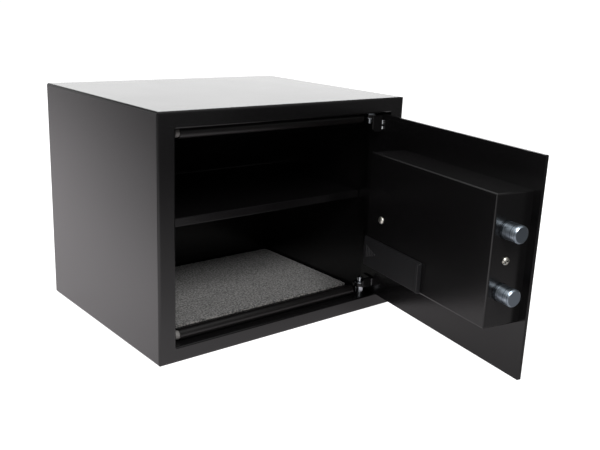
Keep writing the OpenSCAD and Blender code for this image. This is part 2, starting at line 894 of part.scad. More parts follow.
// Flat lead from the keypad board through the door to the control board
module ribbon_cable() {
    color(rubber_grey) on_door() box([slot_x - ribbon_w / 2, board_front + board_t, slot_z - ribbon_t / 2],
        [slot_x + ribbon_w / 2, control_depth, slot_z + ribbon_t / 2]);
}

// Socket for the staff's handheld unit, reached from below the fascia
module service_port() {
    color(zinc) on_door() translate([port_x, board_front - port_t / 2, fascia_low]) difference() {
        linear_extrude(board_low + port_lap - fascia_low) square([port_w, port_t], center = true);
        translate([0, 0, -cut]) linear_extrude(port_deep + cut)
            square([port_w - 2 * port_wall, port_t - 2 * port_wall], center = true);
    }
}

// Tooth of the rack, pointing down from its root, centred on its pitch point
module rack_tooth() {
    half = tooth_pitch / 4 - tooth_backlash / 2;
    slope = tan(pressure_angle);
    root = half + dedendum * slope;
    tip = half - rack_addendum * slope;
    polygon([[-root, dedendum], [-tip, -rack_addendum], [tip, -rack_addendum], [root, dedendum]]);
}

// Bar across both bolts with the rack that the pinion drives
module bolt_carriage() {
    color(steel_grey) on_door() difference() {
        union() {
            translate([bolt_back, bolt_depth - carriage_w / 2, bolt_mid - carriage_h / 2])
                cube([carriage_t, carriage_w, carriage_h]);
            translate([0, gear_low, pitch_line]) along_y(gear_t) {
                translate([bolt_back + carriage_t - cut, dedendum]) square([rack_l + cut, rack_h]);
                for (k = [-rack_behind : rack_ahead]) translate([pinion_x + (k + 0.5) * tooth_pitch, 0])
                    rack_tooth();
            }
        }
        for (z = bolt_zs) translate([bolt_back - cut, bolt_depth, z])
            rod_x(carriage_t + 2 * cut, bolt_screw_r + loose_gap);
    }
}

// Round bolt with a chamfered tip and a tapped hole in its back
module lock_bolt(z) {
    bolt_r = bolt_dia / 2;
    translate([bolt_tip, bolt_depth, z]) difference() {
        rotate([0, 90, 0]) rotate_extrude() polygon([[0, 0], [bolt_r - bolt_chamfer, 0],
            [bolt_r, bolt_chamfer], [bolt_r, bolt_l], [0, bolt_l]]);
        translate([bolt_l - bolt_screw_l, 0, 0]) rod_x(bolt_screw_l + cut, bolt_screw_r + running_gap);
    }
}

module lower_bolt() {
    color(zinc) on_door() lock_bolt(bolt_zs[0]);
}

module upper_bolt() {
    color(zinc) on_door() lock_bolt(bolt_zs[1]);
}

module bolt_screws() {
    shank = carriage_t + bolt_screw_l - 2;
    color(steel_grey) on_door() for (z = bolt_zs) translate([bolt_back + carriage_t, bolt_depth, z]) {
        rotate([0, 90, 0]) cylinder(h = bolt_screw_head_t, r = bolt_screw_head_r, $fn = 6);
        translate([-shank, 0, 0]) rod_x(shank, bolt_screw_r);
    }
}

// Angle between an involute's start and its point at radius r
function involute(r) = let (a = acos(min(1, base_r / r))) tan(a) * 180 / PI - a;

// Half the angle that a pinion tooth covers at radius r
function half_tooth(r) = 90 / pinion_teeth - tooth_backlash / 2 / pitch_r * 180 / PI
    + involute(pitch_r) - involute(r);

flank_steps = 5;
flank_rs = [for (i = [0 : flank_steps]) base_r + (tip_r - base_r) * i / flank_steps];

function polar(r, a) = [r * cos(a), r * sin(a)];

function tooth_points(mid) = concat([polar(root_r, mid - half_tooth(base_r))],
    [for (r = flank_rs) polar(r, mid - half_tooth(r))],
    [for (i = [flank_steps : -1 : 0]) polar(flank_rs[i], mid + half_tooth(flank_rs[i]))],
    [polar(root_r, mid + half_tooth(base_r))]);

// Involute pinion on the gearbox's output shaft, with a tooth upright in the rack
module drive_pinion() {
    color(brass) on_door() translate([pinion_x, 0, pinion_z]) {
        translate([0, gear_low, 0]) along_y(gear_t)
            polygon([for (i = [0 : pinion_teeth - 1], p = tooth_points(90 + i * 360 / pinion_teeth)) p]);
        translate([0, gearbox_high - shaft_in + running_gap, 0])
            rod_y(gear_low + gear_t + shaft_out - gearbox_high + shaft_in - running_gap, shaft_r);
    }
}

// Hook under the lower edge of the bay's window
module lid_hook() {
    box([-hook_w / 2, cover_inside - hook_gap / 3 - hook_t, bay_low + hook_gap],
        [hook_w / 2, lid_face + lid_t, bay_low + hook_gap + hook_stem]);
    box([-hook_w / 2, cover_inside - hook_gap / 3 - hook_t, bay_low - hook_reach],
        [hook_w / 2, cover_inside - hook_gap / 3, bay_low + hook_gap + hook_stem]);
}

// Moulded lid with a raised end lip, a ribbed arrow that shows which way it slides, and four hooks
module battery_lid() {
    mid = [(lid_left + lid_right) / 2, lid_face, (lid_low + lid_high) / 2];
    color(black_plastic) on_door() {
        translate(mid) along_y(lid_t) rounded_rect(lid_right - lid_left, lid_high - lid_low, lid_corner_r);
        box([lid_left, lid_face, lid_low + lid_corner_r],
            [lid_left + lid_lip_w, lid_face + lid_t + lid_lip_h, lid_high - lid_corner_r]);
        for (i = [0 : lid_ribs - 1])
            translate([lid_right - lid_arrow_inset - i * lid_rib_pitch, lid_face, mid.z])
                along_y(lid_t + lid_rib_h)
                    square([lid_rib_w, lid_arrow_h * (1 - i / lid_ribs)], center = true);
        for (x = hook_xs) translate([x, 0, 0]) {
            lid_hook();
            translate([0, 0, 2 * bay_mid_z]) mirror([0, 0, 1]) lid_hook();
        }
    }
}

// Key cap with a dished face, a flange that keeps it behind the fascia, and a stem
module key(i) {
    outer = -fascia_t - key_proud;
    flange = fascia_inside + key_seat_gap;
    color(key_grey) on_door() translate([key_at(i).x, 0, key_at(i).y]) {
        difference() {
            translate([0, outer, 0]) along_y(flange + key_flange_t - outer) rounded_rect(key_w, key_h, key_r);
            translate([0, outer + key_dish - key_dish_r, -key_h])
                cylinder(h = 2 * key_h, r = key_dish_r, $fn = 96);
        }
        translate([0, flange, 0]) along_y(key_flange_t)
            rounded_rect(key_w + 2 * key_flange, key_h + 2 * key_flange, key_r);
        translate([0, flange, 0]) rod_y(stem_end - flange, key_stem_r);
    }
}

cabinet_shell();
back_panel();
top_guard_bar();
bottom_guard_bar();
bar_end_caps();
upper_hinge_pin();
lower_hinge_pin();
thrust_washers();
left_shelf_ledge();
right_shelf_ledge();
shelf();
floor_mat();
door_plate();
upper_hinge_bracket();
lower_hinge_bracket();
hinge_collars();
bolt_guide();
cover_post();
cover_tab();
lock_cover();
cover_screws();
battery_tray();
battery_cells();
battery_contacts();
gearbox();
gearbox_screws();
motor();
circuit_board();
board_spacers();
keypad_fascia();
display_window();
display_module();
keypad_board();
key_mat();
fascia_screws();
ribbon_cable();
service_port();
bolt_carriage();
upper_bolt();
lower_bolt();
bolt_screws();
drive_pinion();
battery_lid();
key(0);  // key_1
key(1);  // key_2
key(2);  // key_3
key(3);  // key_4
key(4);  // key_5
key(5);  // key_6
key(6);  // key_7
key(7);  // key_8
key(8);  // key_9
key(9);  // key_clear
key(10);  // key_0
key(11);  // key_lock
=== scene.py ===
import json
import math

import bpy
from mathutils import Matrix, Vector, noise


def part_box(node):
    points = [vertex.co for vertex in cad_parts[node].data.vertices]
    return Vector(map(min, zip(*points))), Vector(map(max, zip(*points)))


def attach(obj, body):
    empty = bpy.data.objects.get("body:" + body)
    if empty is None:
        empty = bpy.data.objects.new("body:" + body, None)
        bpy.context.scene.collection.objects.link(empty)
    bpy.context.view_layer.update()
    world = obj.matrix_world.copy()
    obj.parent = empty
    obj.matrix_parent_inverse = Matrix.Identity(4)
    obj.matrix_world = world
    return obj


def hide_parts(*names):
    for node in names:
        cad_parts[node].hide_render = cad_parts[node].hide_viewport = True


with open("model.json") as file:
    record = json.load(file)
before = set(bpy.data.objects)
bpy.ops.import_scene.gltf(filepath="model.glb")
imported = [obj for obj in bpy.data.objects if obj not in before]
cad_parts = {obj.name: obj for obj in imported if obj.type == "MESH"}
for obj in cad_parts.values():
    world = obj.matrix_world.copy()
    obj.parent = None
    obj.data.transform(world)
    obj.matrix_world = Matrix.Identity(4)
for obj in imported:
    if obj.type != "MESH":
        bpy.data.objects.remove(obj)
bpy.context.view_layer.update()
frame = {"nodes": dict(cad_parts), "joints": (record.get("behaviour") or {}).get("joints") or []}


# Cabinet shell and back panel.
# A wrap of 2 mm cold-rolled sheet folded into a front frame, with the back plate welded in; the
# whole body is sprayed with black polyester powder and baked, which leaves a satin, faintly pebbled skin.

def linear(colour):
    """The linear value of an sRGB hex colour, as a shader's socket takes it."""
    shares = [int(colour[i:i + 2], 16) / 255 for i in (1, 3, 5)]
    return [s / 12.92 if s <= 0.04045 else ((s + 0.055) / 1.055) ** 2.4 for s in shares] + [1.0]


def feed(tree, node, feeds):
    """Sets a node's inputs, each to a value or to the socket that drives it."""
    for socket, value in feeds.items():
        if isinstance(value, bpy.types.NodeSocket):
            tree.links.new(value, node.inputs[socket])
        else:
            node.inputs[socket].default_value = value


def add(tree, kind, feeds=None, **settings):
    """Adds a node with these feeds for its inputs and these settings for its properties.

    A Mix node's inputs go by number: 0 is the factor, 2 and 3 are its two values, 6 and 7 its two colours.
    Its output 0 is the mixed value and its output 2 the mixed colour.
    """
    node = tree.nodes.new(kind)
    for name, value in settings.items():
        setattr(node, name, value)
    feed(tree, node, feeds or {})
    return node


def start_material(name):
    """A new material, its node tree, its shader and the socket that gives a point's place on the object."""
    material = bpy.data.materials.new(name)
    material.use_nodes = True
    tree = material.node_tree
    return material, tree, tree.nodes["Principled BSDF"], add(tree, "ShaderNodeTexCoord").outputs["Object"]


def coat(material, *nodes):
    """Gives solids from the frame a finish."""
    for name in nodes:
        slots = frame["nodes"][name].data.materials
        if slots:
            slots[0] = material
        else:
            slots.append(material)


# Polyester powder coat, sprayed and cured: near black, with a satin gloss that an orange-peel skin softens.
# The peel is about 1 mm on the real sheet and is drawn at 1.6 mm so that it shows.
peel_size, cloud_size = 0.0016, 0.09
powder_coat, tree, shader, place = start_material("black_powder_coat")
peel = add(tree, "ShaderNodeTexNoise", {"Vector": place, "Scale": 1 / peel_size, "Detail": 2.0,
                                        "Roughness": 0.4})
cloud = add(tree, "ShaderNodeTexNoise", {"Vector": place, "Scale": 1 / cloud_size, "Detail": 3.0})
black = add(tree, "ShaderNodeMix", {0: peel.outputs["Fac"], 6: linear("#0a0a0a"), 7: linear("#121112")},
            data_type="RGBA")
satin = add(tree, "ShaderNodeMapRange", {"Value": cloud.outputs["Fac"], "From Min": 0.3, "From Max": 0.7,
                                         "To Min": 0.23, "To Max": 0.24})
pebbles = add(tree, "ShaderNodeBump", {"Height": peel.outputs["Fac"], "Strength": 0.22, "Distance": 0.0002})
feed(tree, shader, {"Base Color": black.outputs[2], "Roughness": satin.outputs["Result"],
                    "Normal": pebbles.outputs["Normal"], "IOR": 1.5})
coat(powder_coat, "cabinet_shell", "back_panel")


# Guard bars and their end caps.
# Two 14 mm steel rounds welded along the rail lips just behind the door and brushed with black enamel;
# a round cap of grey rubber is pushed into the latch end of each.

def mottle(tree, shader, place, size, detail, colours, roughness):
    """Varies a shader between two colours and two roughnesses with one noise, whose grains are this large."""
    grains = add(tree, "ShaderNodeTexNoise", {"Vector": place, "Scale": 1 / size, "Detail": detail})
    share = grains.outputs["Fac"]
    colour = add(tree, "ShaderNodeMix", {0: share, 6: linear(colours[0]), 7: linear(colours[1])},
                 data_type="RGBA")
    gloss = add(tree, "ShaderNodeMapRange", {"Value": share, "To Min": roughness[0], "To Max": roughness[1]})
    feed(tree, shader, {"Base Color": colour.outputs[2], "Roughness": gloss.outputs["Result"]})
    return share


# Brushed enamel: black and duller than the powder coat, with the brush's streaks along the bar, 0.6 mm apart
# and about 20 mm long.
streak_gap, streak_length = 0.0006, 0.02
bar_enamel, tree, shader, place = start_material("brushed_black_enamel")
drawn_out = add(tree, "ShaderNodeMapping", {"Vector": place, "Scale": (streak_gap / streak_length, 1.0, 1.0)})
streaks = mottle(tree, shader, drawn_out.outputs["Vector"], streak_gap, 3.0, ("#0b0a0a", "#131111"),
                 (0.30, 0.40))
brushed = add(tree, "ShaderNodeBump", {"Height": streaks, "Strength": 0.15, "Distance": 0.0001})
feed(tree, shader, {"Normal": brushed.outputs["Normal"]})
coat(bar_enamel, "top_guard_bar", "bottom_guard_bar")

# Moulded rubber: mid grey and dull, with a skin that the mould leaves uneven in spots of 1.2 mm.
rubber_spot = 0.0012
grey_rubber, tree, shader, place = start_material("grey_moulded_rubber")
mottle(tree, shader, place, rubber_spot, 3.0, ("#615f5d", "#7d7a78"), (0.5, 0.7))
coat(grey_rubber, "bar_end_caps")


# Hinge pins, thrust washers and collars.
# Turned steel dowels riveted in the rail lips, with a washer on one side of each door leaf and a collar on
# the other, all zinc plated and left bright after the body is coated.

# Bright zinc plate: a pale, cool metal with sharp highlights, a cloudy bloom in 4 mm patches and fine pits.
bloom_size, pit_size = 0.004, 0.0007
zinc_plate, tree, shader, place = start_material("bright_zinc_plate")
mottle(tree, shader, place, bloom_size, 4.0, ("#c3cad2", "#e2e6ea"), (0.16, 0.30))
grain = add(tree, "ShaderNodeTexNoise", {"Vector": place, "Scale": 1 / pit_size, "Detail": 2.0})
pits = add(tree, "ShaderNodeBump", {"Height": grain.outputs["Fac"], "Strength": 0.12, "Distance": 0.0001})
feed(tree, shader, {"Normal": pits.outputs["Normal"], "Metallic": 1.0})
coat(zinc_plate, "upper_hinge_pin", "lower_hinge_pin", "thrust_washers", "hinge_collars")


# Shelf and ledges.
# A 1.2 mm folded sheet shelf with a hemmed front lip, laid on two angles that are spot welded to the
# side walls; coated with the cabinet.

coat(powder_coat, "shelf", "left_shelf_ledge", "right_shelf_ledge")


# Felt mat.
# A 3 mm sheet of grey needle felt, die cut with round corners and laid loose on the floor; its fibres
# are light and dark greys, matted by the needles, with loose ends standing up.

mat_low, mat_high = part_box("floor_mat")
mat_mid = (mat_low + mat_high) / 2
mat_half = (mat_high - mat_low) / 2
mat_corner = 0.006
# The cut edge rolls down over this width by this share of the height.
mat_edge, edge_drop = 0.0016, 0.35
# The matted sheet takes this share of the mat's thickness, and the loose fibres stand up from it.
sheet_share = 0.93
lump_size, lump_height = 0.007, 0.00016
steps_x, steps_y = 148, 88


def mat_outline(u, v):
    """Where a point of a unit square lies on the mat, with the square's corners pulled round."""
    x, y = u * mat_half.x, v * mat_half.y
    over_x = abs(x) - (mat_half.x - mat_corner)
    over_y = abs(y) - (mat_half.y - mat_corner)
    if over_x > 0 and over_y > 0:
        pull = max(over_x, over_y) / math.hypot(over_x, over_y)
        x = math.copysign(mat_half.x - mat_corner + over_x * pull, x)
        y = math.copysign(mat_half.y - mat_corner + over_y * pull, y)
    return x, y


def put(name, data):
    """A new object in the scene for a mesh, a curve, a lamp or a camera."""
    thing = bpy.data.objects.new(name, data)
    bpy.context.scene.collection.objects.link(thing)
    return thing


points, faces = [], []
for j in range(steps_y + 1):
    for i in range(steps_x + 1):
        u, v = 2 * i / steps_x - 1, 2 * j / steps_y - 1
        x, y = mat_outline(u, v)
        inset = min(mat_half.x * (1 - abs(u)), mat_half.y * (1 - abs(v)))
        lumps = noise.fractal(Vector((x, y, 0)) / lump_size, 1.0, 2.0, 3)
        crown = 1 - max(0.0, 1 - inset / mat_edge) ** 2 * edge_drop
        top = mat_low.z + 2 * mat_half.z * sheet_share * crown + lump_height * lumps
        points.append((mat_mid.x + x, mat_mid.y + y, min(top, mat_high.z)))
row = steps_x + 1
for j in range(steps_y):
    for i in range(steps_x):
        a = j * row + i
        faces.append((a, a + 1, a + 1 + row, a + row))
rim = list(range(row)) + [j * row + steps_x for j in range(1, steps_y + 1)]
rim += [steps_y * row + i for i in range(steps_x - 1, -1, -1)] + [j * row for j in range(steps_y - 1, 0, -1)]
first = len(points)
points += [(points[i][0], points[i][1], mat_low.z) for i in rim]
for k in range(len(rim)):
    n = (k + 1) % len(rim)
    faces.append((rim[n], rim[k], first + k, first + n))
faces.append(tuple(first + k for k in reversed(range(len(rim)))))
felt_mesh = bpy.data.meshes.new("felt_mat")
felt_mesh.from_pydata(points, [], faces)
felt_mat = put("felt_mat", felt_mesh)
for face in felt_mesh.polygons:
    face.use_smooth = len(face.vertices) == 4

# Needle felt of polyester: pale and dark fibres mixed, flecked and soft to the eye, with no gloss. The tufts
# are a little over 1 mm across and are drawn at 2.6 mm so that they show.
tuft_size, fleck_size, patch_size = 0.0026, 0.0021, 0.03
needle_felt, tree, shader, place = start_material("grey_needle_felt")
tufts = add(tree, "ShaderNodeTexNoise", {"Vector": place, "Scale": 1 / tuft_size, "Detail": 4.0,
                                         "Roughness": 0.65})
flecks = add(tree, "ShaderNodeTexVoronoi", {"Vector": place, "Scale": 1 / fleck_size})
patches = add(tree, "ShaderNodeTexNoise", {"Vector": place, "Scale": 1 / patch_size, "Detail": 2.0})
wool = add(tree, "ShaderNodeValToRGB", {"Fac": tufts.outputs["Fac"]})
for stop, position, colour in zip(wool.color_ramp.elements, (0.41, 0.60), ("#333231", "#a3a19e")):
    stop.position = position
    stop.color = linear(colour)
worn = add(tree, "ShaderNodeMix", {0: patches.outputs["Fac"], 6: linear("#d0d0d2"), 7: linear("#ffffff")},
           data_type="RGBA")
felt_grey = add(tree, "ShaderNodeMix", {0: 1.0, 6: wool.outputs["Color"], 7: worn.outputs[2]},
                data_type="RGBA", blend_type="MULTIPLY")
nap = add(tree, "ShaderNodeMath", {0: tufts.outputs["Fac"], 1: flecks.outputs["Distance"]}, operation="ADD")
fuzz = add(tree, "ShaderNodeBump", {"Height": nap.outputs[0], "Strength": 0.6, "Distance": 0.0006})
feed(tree, shader, {"Base Color": felt_grey.outputs[2], "Normal": fuzz.outputs["Normal"], "Roughness": 0.95,
                    "Specular IOR Level": 0.15, "Sheen Weight": 0.3, "Sheen Roughness": 0.6})
felt_mesh.materials.append(needle_felt)


def start_maker(name, sizes, seed=None):
    """A geometry tree with these sizes, a seed if it draws at random and a finish, and its input sockets."""
    maker = bpy.data.node_groups.new(name, "GeometryNodeTree")
    maker.interface.new_socket("Geometry", in_out="INPUT", socket_type="NodeSocketGeometry")
    for label, size in sizes.items():
        maker.interface.new_socket(label, in_out="INPUT", socket_type="NodeSocketFloat").default_value = size
    if seed is not None:
        maker.interface.new_socket("Seed", in_out="INPUT", socket_type="NodeSocketInt").default_value = seed
    maker.interface.new_socket("Finish", in_out="INPUT", socket_type="NodeSocketMaterial")
    maker.interface.new_socket("Geometry", in_out="OUTPUT", socket_type="NodeSocketGeometry")
    return maker, add(maker, "NodeGroupInput").outputs


def end_maker(maker, instances, finish):
    """Ends a geometry tree: makes its instances real and gives them their finish."""
    real = add(maker, "GeometryNodeRealizeInstances", {"Geometry": instances})
    done = add(maker, "GeometryNodeSetMaterial", {"Geometry": real.outputs["Geometry"], "Material": finish})
    add(maker, "NodeGroupOutput", {"Geometry": done.outputs["Geometry"]})


def grow(name, base, maker, values):
    """A plain mesh object of what a geometry tree makes on a base object with these values for its inputs."""
    growth = base.modifiers.new(name, "NODES")
    growth.node_group = maker
    inputs = {item.name: item.identifier for item in maker.interface.items_tree if item.in_out == "INPUT"}
    for label, value in values.items():
        growth[inputs[label]] = value
    made = bpy.data.meshes.new_from_object(base.evaluated_get(bpy.context.evaluated_depsgraph_get()))
    base.modifiers.remove(growth)
    made.name = name
    return put(name, made)


# Loose ends of fibre on the mat's top. Real ones are about 0.03 mm thick and are drawn at 0.14 mm so that
# they show. Each is rooted just under the surface, arches to its rise and droops at its far end, and is
# between two shares of the full size.
level_enough, root_depth = 0.7, 0.0001
arch_share, droop_share = 0.45, 0.3
sway, full_turn = 0.12, 6.283
smallest, largest = 0.5, 1.2
fibre_maker, asked = start_maker("felt_fibres", {"Density": 78000.0, "Length": 0.0034, "Rise": 0.0009,
                                                 "Radius": 0.00007}, seed=4)
facing = add(fibre_maker, "GeometryNodeInputNormal").outputs["Normal"]
lie = add(fibre_maker, "ShaderNodeSeparateXYZ", {"Vector": facing})
upper = add(fibre_maker, "FunctionNodeCompare", {"A": lie.outputs["Z"], "B": level_enough}, data_type="FLOAT",
            operation="GREATER_THAN")
roots = add(fibre_maker, "GeometryNodeDistributePointsOnFaces", {
    "Mesh": asked["Geometry"], "Selection": upper.outputs["Result"], "Density": asked["Density"],
    "Seed": asked["Seed"]})
half_way = add(fibre_maker, "ShaderNodeMath", {0: asked["Length"], 1: arch_share}, operation="MULTIPLY")
arch = add(fibre_maker, "ShaderNodeCombineXYZ", {"X": half_way.outputs[0], "Z": asked["Rise"]})
droop = add(fibre_maker, "ShaderNodeMath", {0: asked["Rise"], 1: droop_share}, operation="MULTIPLY")
far = add(fibre_maker, "ShaderNodeCombineXYZ", {"X": asked["Length"], "Y": asked["Rise"],
                                                "Z": droop.outputs[0]})
strand = add(fibre_maker, "GeometryNodeCurveQuadraticBezier", {
    "Resolution": 3, "Start": (0.0, 0.0, -root_depth), "Middle": arch.outputs[0], "End": far.outputs[0]})
ring = add(fibre_maker, "GeometryNodeCurvePrimitiveCircle", {"Resolution": 3, "Radius": asked["Radius"]})
hair = add(fibre_maker, "GeometryNodeCurveToMesh", {
    "Curve": strand.outputs["Curve"], "Profile Curve": ring.outputs["Curve"], "Fill Caps": True})
turn = add(fibre_maker, "FunctionNodeRandomValue", {
    "Min": (0.0, -sway, 0.0), "Max": (0.0, sway, full_turn), "Seed": asked["Seed"]}, data_type="FLOAT_VECTOR")
size = add(fibre_maker, "FunctionNodeRandomValue", {2: smallest, 3: largest, "Seed": asked["Seed"]},
           data_type="FLOAT")
strewn = add(fibre_maker, "GeometryNodeInstanceOnPoints", {
    "Points": roots.outputs["Points"], "Instance": hair.outputs["Mesh"], "Rotation": turn.outputs["Value"],
    "Scale": size.outputs[1]})
end_maker(fibre_maker, strewn.outputs["Instances"], asked["Finish"])

felt_fibres = grow("felt_fibres", felt_mat, fibre_maker, {"Finish": needle_felt})
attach(felt_fibres, "cabinet")
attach(felt_mat, "cabinet")
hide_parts("floor_mat")


# Door plate and hinge brackets.
# A flat 4 mm steel plate that hangs on the two hinge pins by an angle bracket welded behind each of its
# hinge corners; coated with the cabinet.

coat(powder_coat, "door_plate", "upper_hinge_bracket", "lower_hinge_bracket")

door_hinge = next(j for j in frame["joints"] if j["name"] == "door_hinge")
door_swing = math.radians(-door_hinge["range_deg"][0])
front_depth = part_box("cabinet_shell")[0].y
hinge_axis = Vector(door_hinge["pos_m"])
to_hinge = Matrix.Translation((hinge_axis.x, hinge_axis.y, 0))
from_hinge = Matrix.Translation((-hinge_axis.x, -hinge_axis.y, 0))
shut_to_open = (to_hinge @ Matrix.Rotation(door_swing, 4, "Z") @ from_hinge
                @ Matrix.Translation((0, front_depth, 0)))


def on_door(across, depth, up):
    """Where a place on the shut door, in mm from the cabinet's middle, front and floor, is at rest."""
    return shut_to_open @ Vector((across / 1000, depth / 1000, up / 1000))


# Weld beads on the hinge brackets.
# Short runs of weld that fill the groove between each bracket's bend and the door, wire-brushed and left
# bright; each run is a row of ripples where the weld pool froze.

# Wire-brushed weld metal: pale grey steel, patchy and half dull, so that each ripple has a soft highlight.
weld_patch = 0.0012
weld_metal, tree, shader, place = start_material("wire_brushed_weld")
mottle(tree, shader, place, weld_patch, 3.0, ("#8f9093", "#cdced1"), (0.32, 0.46))
feed(tree, shader, {"Metallic": 1.0})

bead_maker, asked = start_maker("weld_beads", {"Ripple Spacing": 0.0011, "Bead Radius": 0.0014}, seed=7)
seam = add(bead_maker, "GeometryNodeMeshToCurve", {"Mesh": asked["Geometry"]})
pools = add(bead_maker, "GeometryNodeResampleCurve", {
    "Curve": seam.outputs["Curve"], "Length": asked["Ripple Spacing"]}, mode="LENGTH")
drop = add(bead_maker, "GeometryNodeMeshUVSphere", {"Segments": 16, "Rings": 10,
                                                    "Radius": asked["Bead Radius"]})
smooth = add(bead_maker, "GeometryNodeSetShadeSmooth", {"Geometry": drop.outputs["Mesh"]})
swell = add(bead_maker, "FunctionNodeRandomValue", {
    "Min": (0.85, 0.85, 0.7), "Max": (1.1, 1.1, 0.9), "Seed": asked["Seed"]}, data_type="FLOAT_VECTOR")
laid = add(bead_maker, "GeometryNodeInstanceOnPoints", {
    "Points": pools.outputs["Curve"], "Instance": smooth.outputs["Geometry"],
    "Scale": swell.outputs["Value"]})
end_maker(bead_maker, laid.outputs["Instances"], asked["Finish"])

# Each run goes from one height on the door to another.
weld_across, weld_depth = 134.6, 5.0
for name, radius, runs in (("upper_weld_beads", 0.0014, [(264.6, 268.6), (258.2, 260.8)]),
                           ("lower_weld_bead", 0.0009, [(33.0, 41.5)])):
    seam_mesh = bpy.data.meshes.new("weld_seams")
    seam_mesh.from_pydata([on_door(weld_across, weld_depth, up) for run in runs for up in run],
                          [(2 * k, 2 * k + 1) for k in range(len(runs))], [])
    seams = put("weld_seams", seam_mesh)
    weld_beads = grow(name, seams, bead_maker, {"Finish": weld_metal, "Bead Radius": radius})
    bpy.data.objects.remove(seams)
    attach(weld_beads, "door")


# Bolt work: guide, carriage, motor, pinion, and the cover's post and tab.
# The lock's works under the cover: a pressed steel guide and carriage left bare, a gear motor in a drawn
# steel can, and a turned brass pinion on its shaft.

# Cold-rolled steel: a plain grey metal, half dull, with the mill's rolling lines 1.2 mm apart and 20 mm long.
line_gap, line_length = 0.0012, 0.02
bare_steel, tree, shader, place = start_material("cold_rolled_steel")
stretch = add(tree, "ShaderNodeMapping", {"Vector": place, "Scale": (1.0, 1.0, line_gap / line_length)})
rolled = mottle(tree, shader, stretch.outputs["Vector"], line_gap, 3.0, ("#7f8286", "#a3a6aa"), (0.32, 0.5))
lines = add(tree, "ShaderNodeBump", {"Height": rolled, "Strength": 0.15, "Distance": 0.0001})
feed(tree, shader, {"Normal": lines.outputs["Normal"], "Metallic": 1.0})
coat(bare_steel, "bolt_guide", "bolt_carriage", "cover_post", "cover_tab", "motor")

# Turned brass: a warm yellow metal, half bright, that handling has tarnished in patches of 3 mm.
tarnish_size = 0.003
turned_brass, tree, shader, place = start_material("turned_brass")
mottle(tree, shader, place, tarnish_size, 3.0, ("#a98a4a", "#d3b671"), (0.22, 0.4))
feed(tree, shader, {"Metallic": 1.0})
coat(turned_brass, "drive_pinion")


# Locking bolts and their screws.
# Two 20 mm turned steel bolts, zinc plated with a blue passivate; the lathe's feed leaves fine rings
# along them, and the tips are chamfered.

# Blue-passivated zinc: a cool blue-grey metal, banded light and dark across its soft highlights by the rings.
# The feed of the lathe is about 0.2 mm; its rings are drawn in bands of 2.4 mm so that they show.
band_width, bloom_size = 0.0024, 0.006
bolt_zinc, tree, shader, place = start_material("blue_passivated_zinc")
along = add(tree, "ShaderNodeMapping", {"Vector": place, "Rotation": (0.0, 0.0, -door_swing)})
axis = add(tree, "ShaderNodeSeparateXYZ", {"Vector": along.outputs["Vector"]})
rings = add(tree, "ShaderNodeTexNoise", {
    "W": axis.outputs["X"], "Scale": 1 / band_width, "Detail": 4.0, "Roughness": 0.65}, noise_dimensions="1D")
bloom = add(tree, "ShaderNodeTexNoise", {"Vector": place, "Scale": 1 / bloom_size, "Detail": 3.0})
tone = add(tree, "ShaderNodeMath", {0: rings.outputs["Fac"], 1: bloom.outputs["Fac"], 2: 0.15},
           operation="MULTIPLY_ADD")
bands = add(tree, "ShaderNodeMapRange", {"Value": rings.outputs["Fac"], "From Min": 0.35, "From Max": 0.65})
zinc = add(tree, "ShaderNodeMix", {0: bands.outputs["Result"], 6: linear("#5c6875"), 7: linear("#c6d2dc")},
           data_type="RGBA")
polish = add(tree, "ShaderNodeMapRange", {"Value": tone.outputs[0], "To Min": 0.27, "To Max": 0.42})
ridges = add(tree, "ShaderNodeBump", {"Height": rings.outputs["Fac"], "Strength": 0.5, "Distance": 0.0002})
feed(tree, shader, {"Base Color": zinc.outputs[2], "Roughness": polish.outputs["Result"],
                    "Normal": ridges.outputs["Normal"], "Metallic": 1.0})
coat(bolt_zinc, "upper_bolt", "lower_bolt", "bolt_screws")


# Battery tray, cells and contacts.
# A moulded tray under the cover with four cells between plated spring contacts; each cell is a drawn
# steel can in a jacket of printed film.

# Spark-eroded black ABS: a matt, finely grained black, with moulded edges about 1 mm round that catch the
# light. The mould's grain is about 0.15 mm and is drawn at 0.7 mm so that it shows.
spark_size, flow_size, edge_radius = 0.0007, 0.04, 0.0011
black_abs, tree, shader, place = start_material("textured_black_abs")
grain = add(tree, "ShaderNodeTexNoise", {"Vector": place, "Scale": 1 / spark_size, "Detail": 3.0,
                                         "Roughness": 0.6})
flow = add(tree, "ShaderNodeTexNoise", {"Vector": place, "Scale": 1 / flow_size, "Detail": 2.0})
soft_black = add(tree, "ShaderNodeMix", {0: flow.outputs["Fac"], 6: linear("#161618"), 7: linear("#1b1b1d")},
                 data_type="RGBA")
matt = add(tree, "ShaderNodeMapRange", {"Value": grain.outputs["Fac"], "To Min": 0.36, "To Max": 0.50})
soft_edge = add(tree, "ShaderNodeBevel", {"Radius": edge_radius}, samples=6)
spark = add(tree, "ShaderNodeBump", {"Height": grain.outputs["Fac"], "Strength": 0.3, "Distance": 0.00012,
                                     "Normal": soft_edge.outputs["Normal"]})
feed(tree, shader, {"Base Color": soft_black.outputs[2], "Roughness": matt.outputs["Result"],
                    "Normal": spark.outputs["Normal"], "IOR": 1.52})
coat(black_abs, "battery_tray")

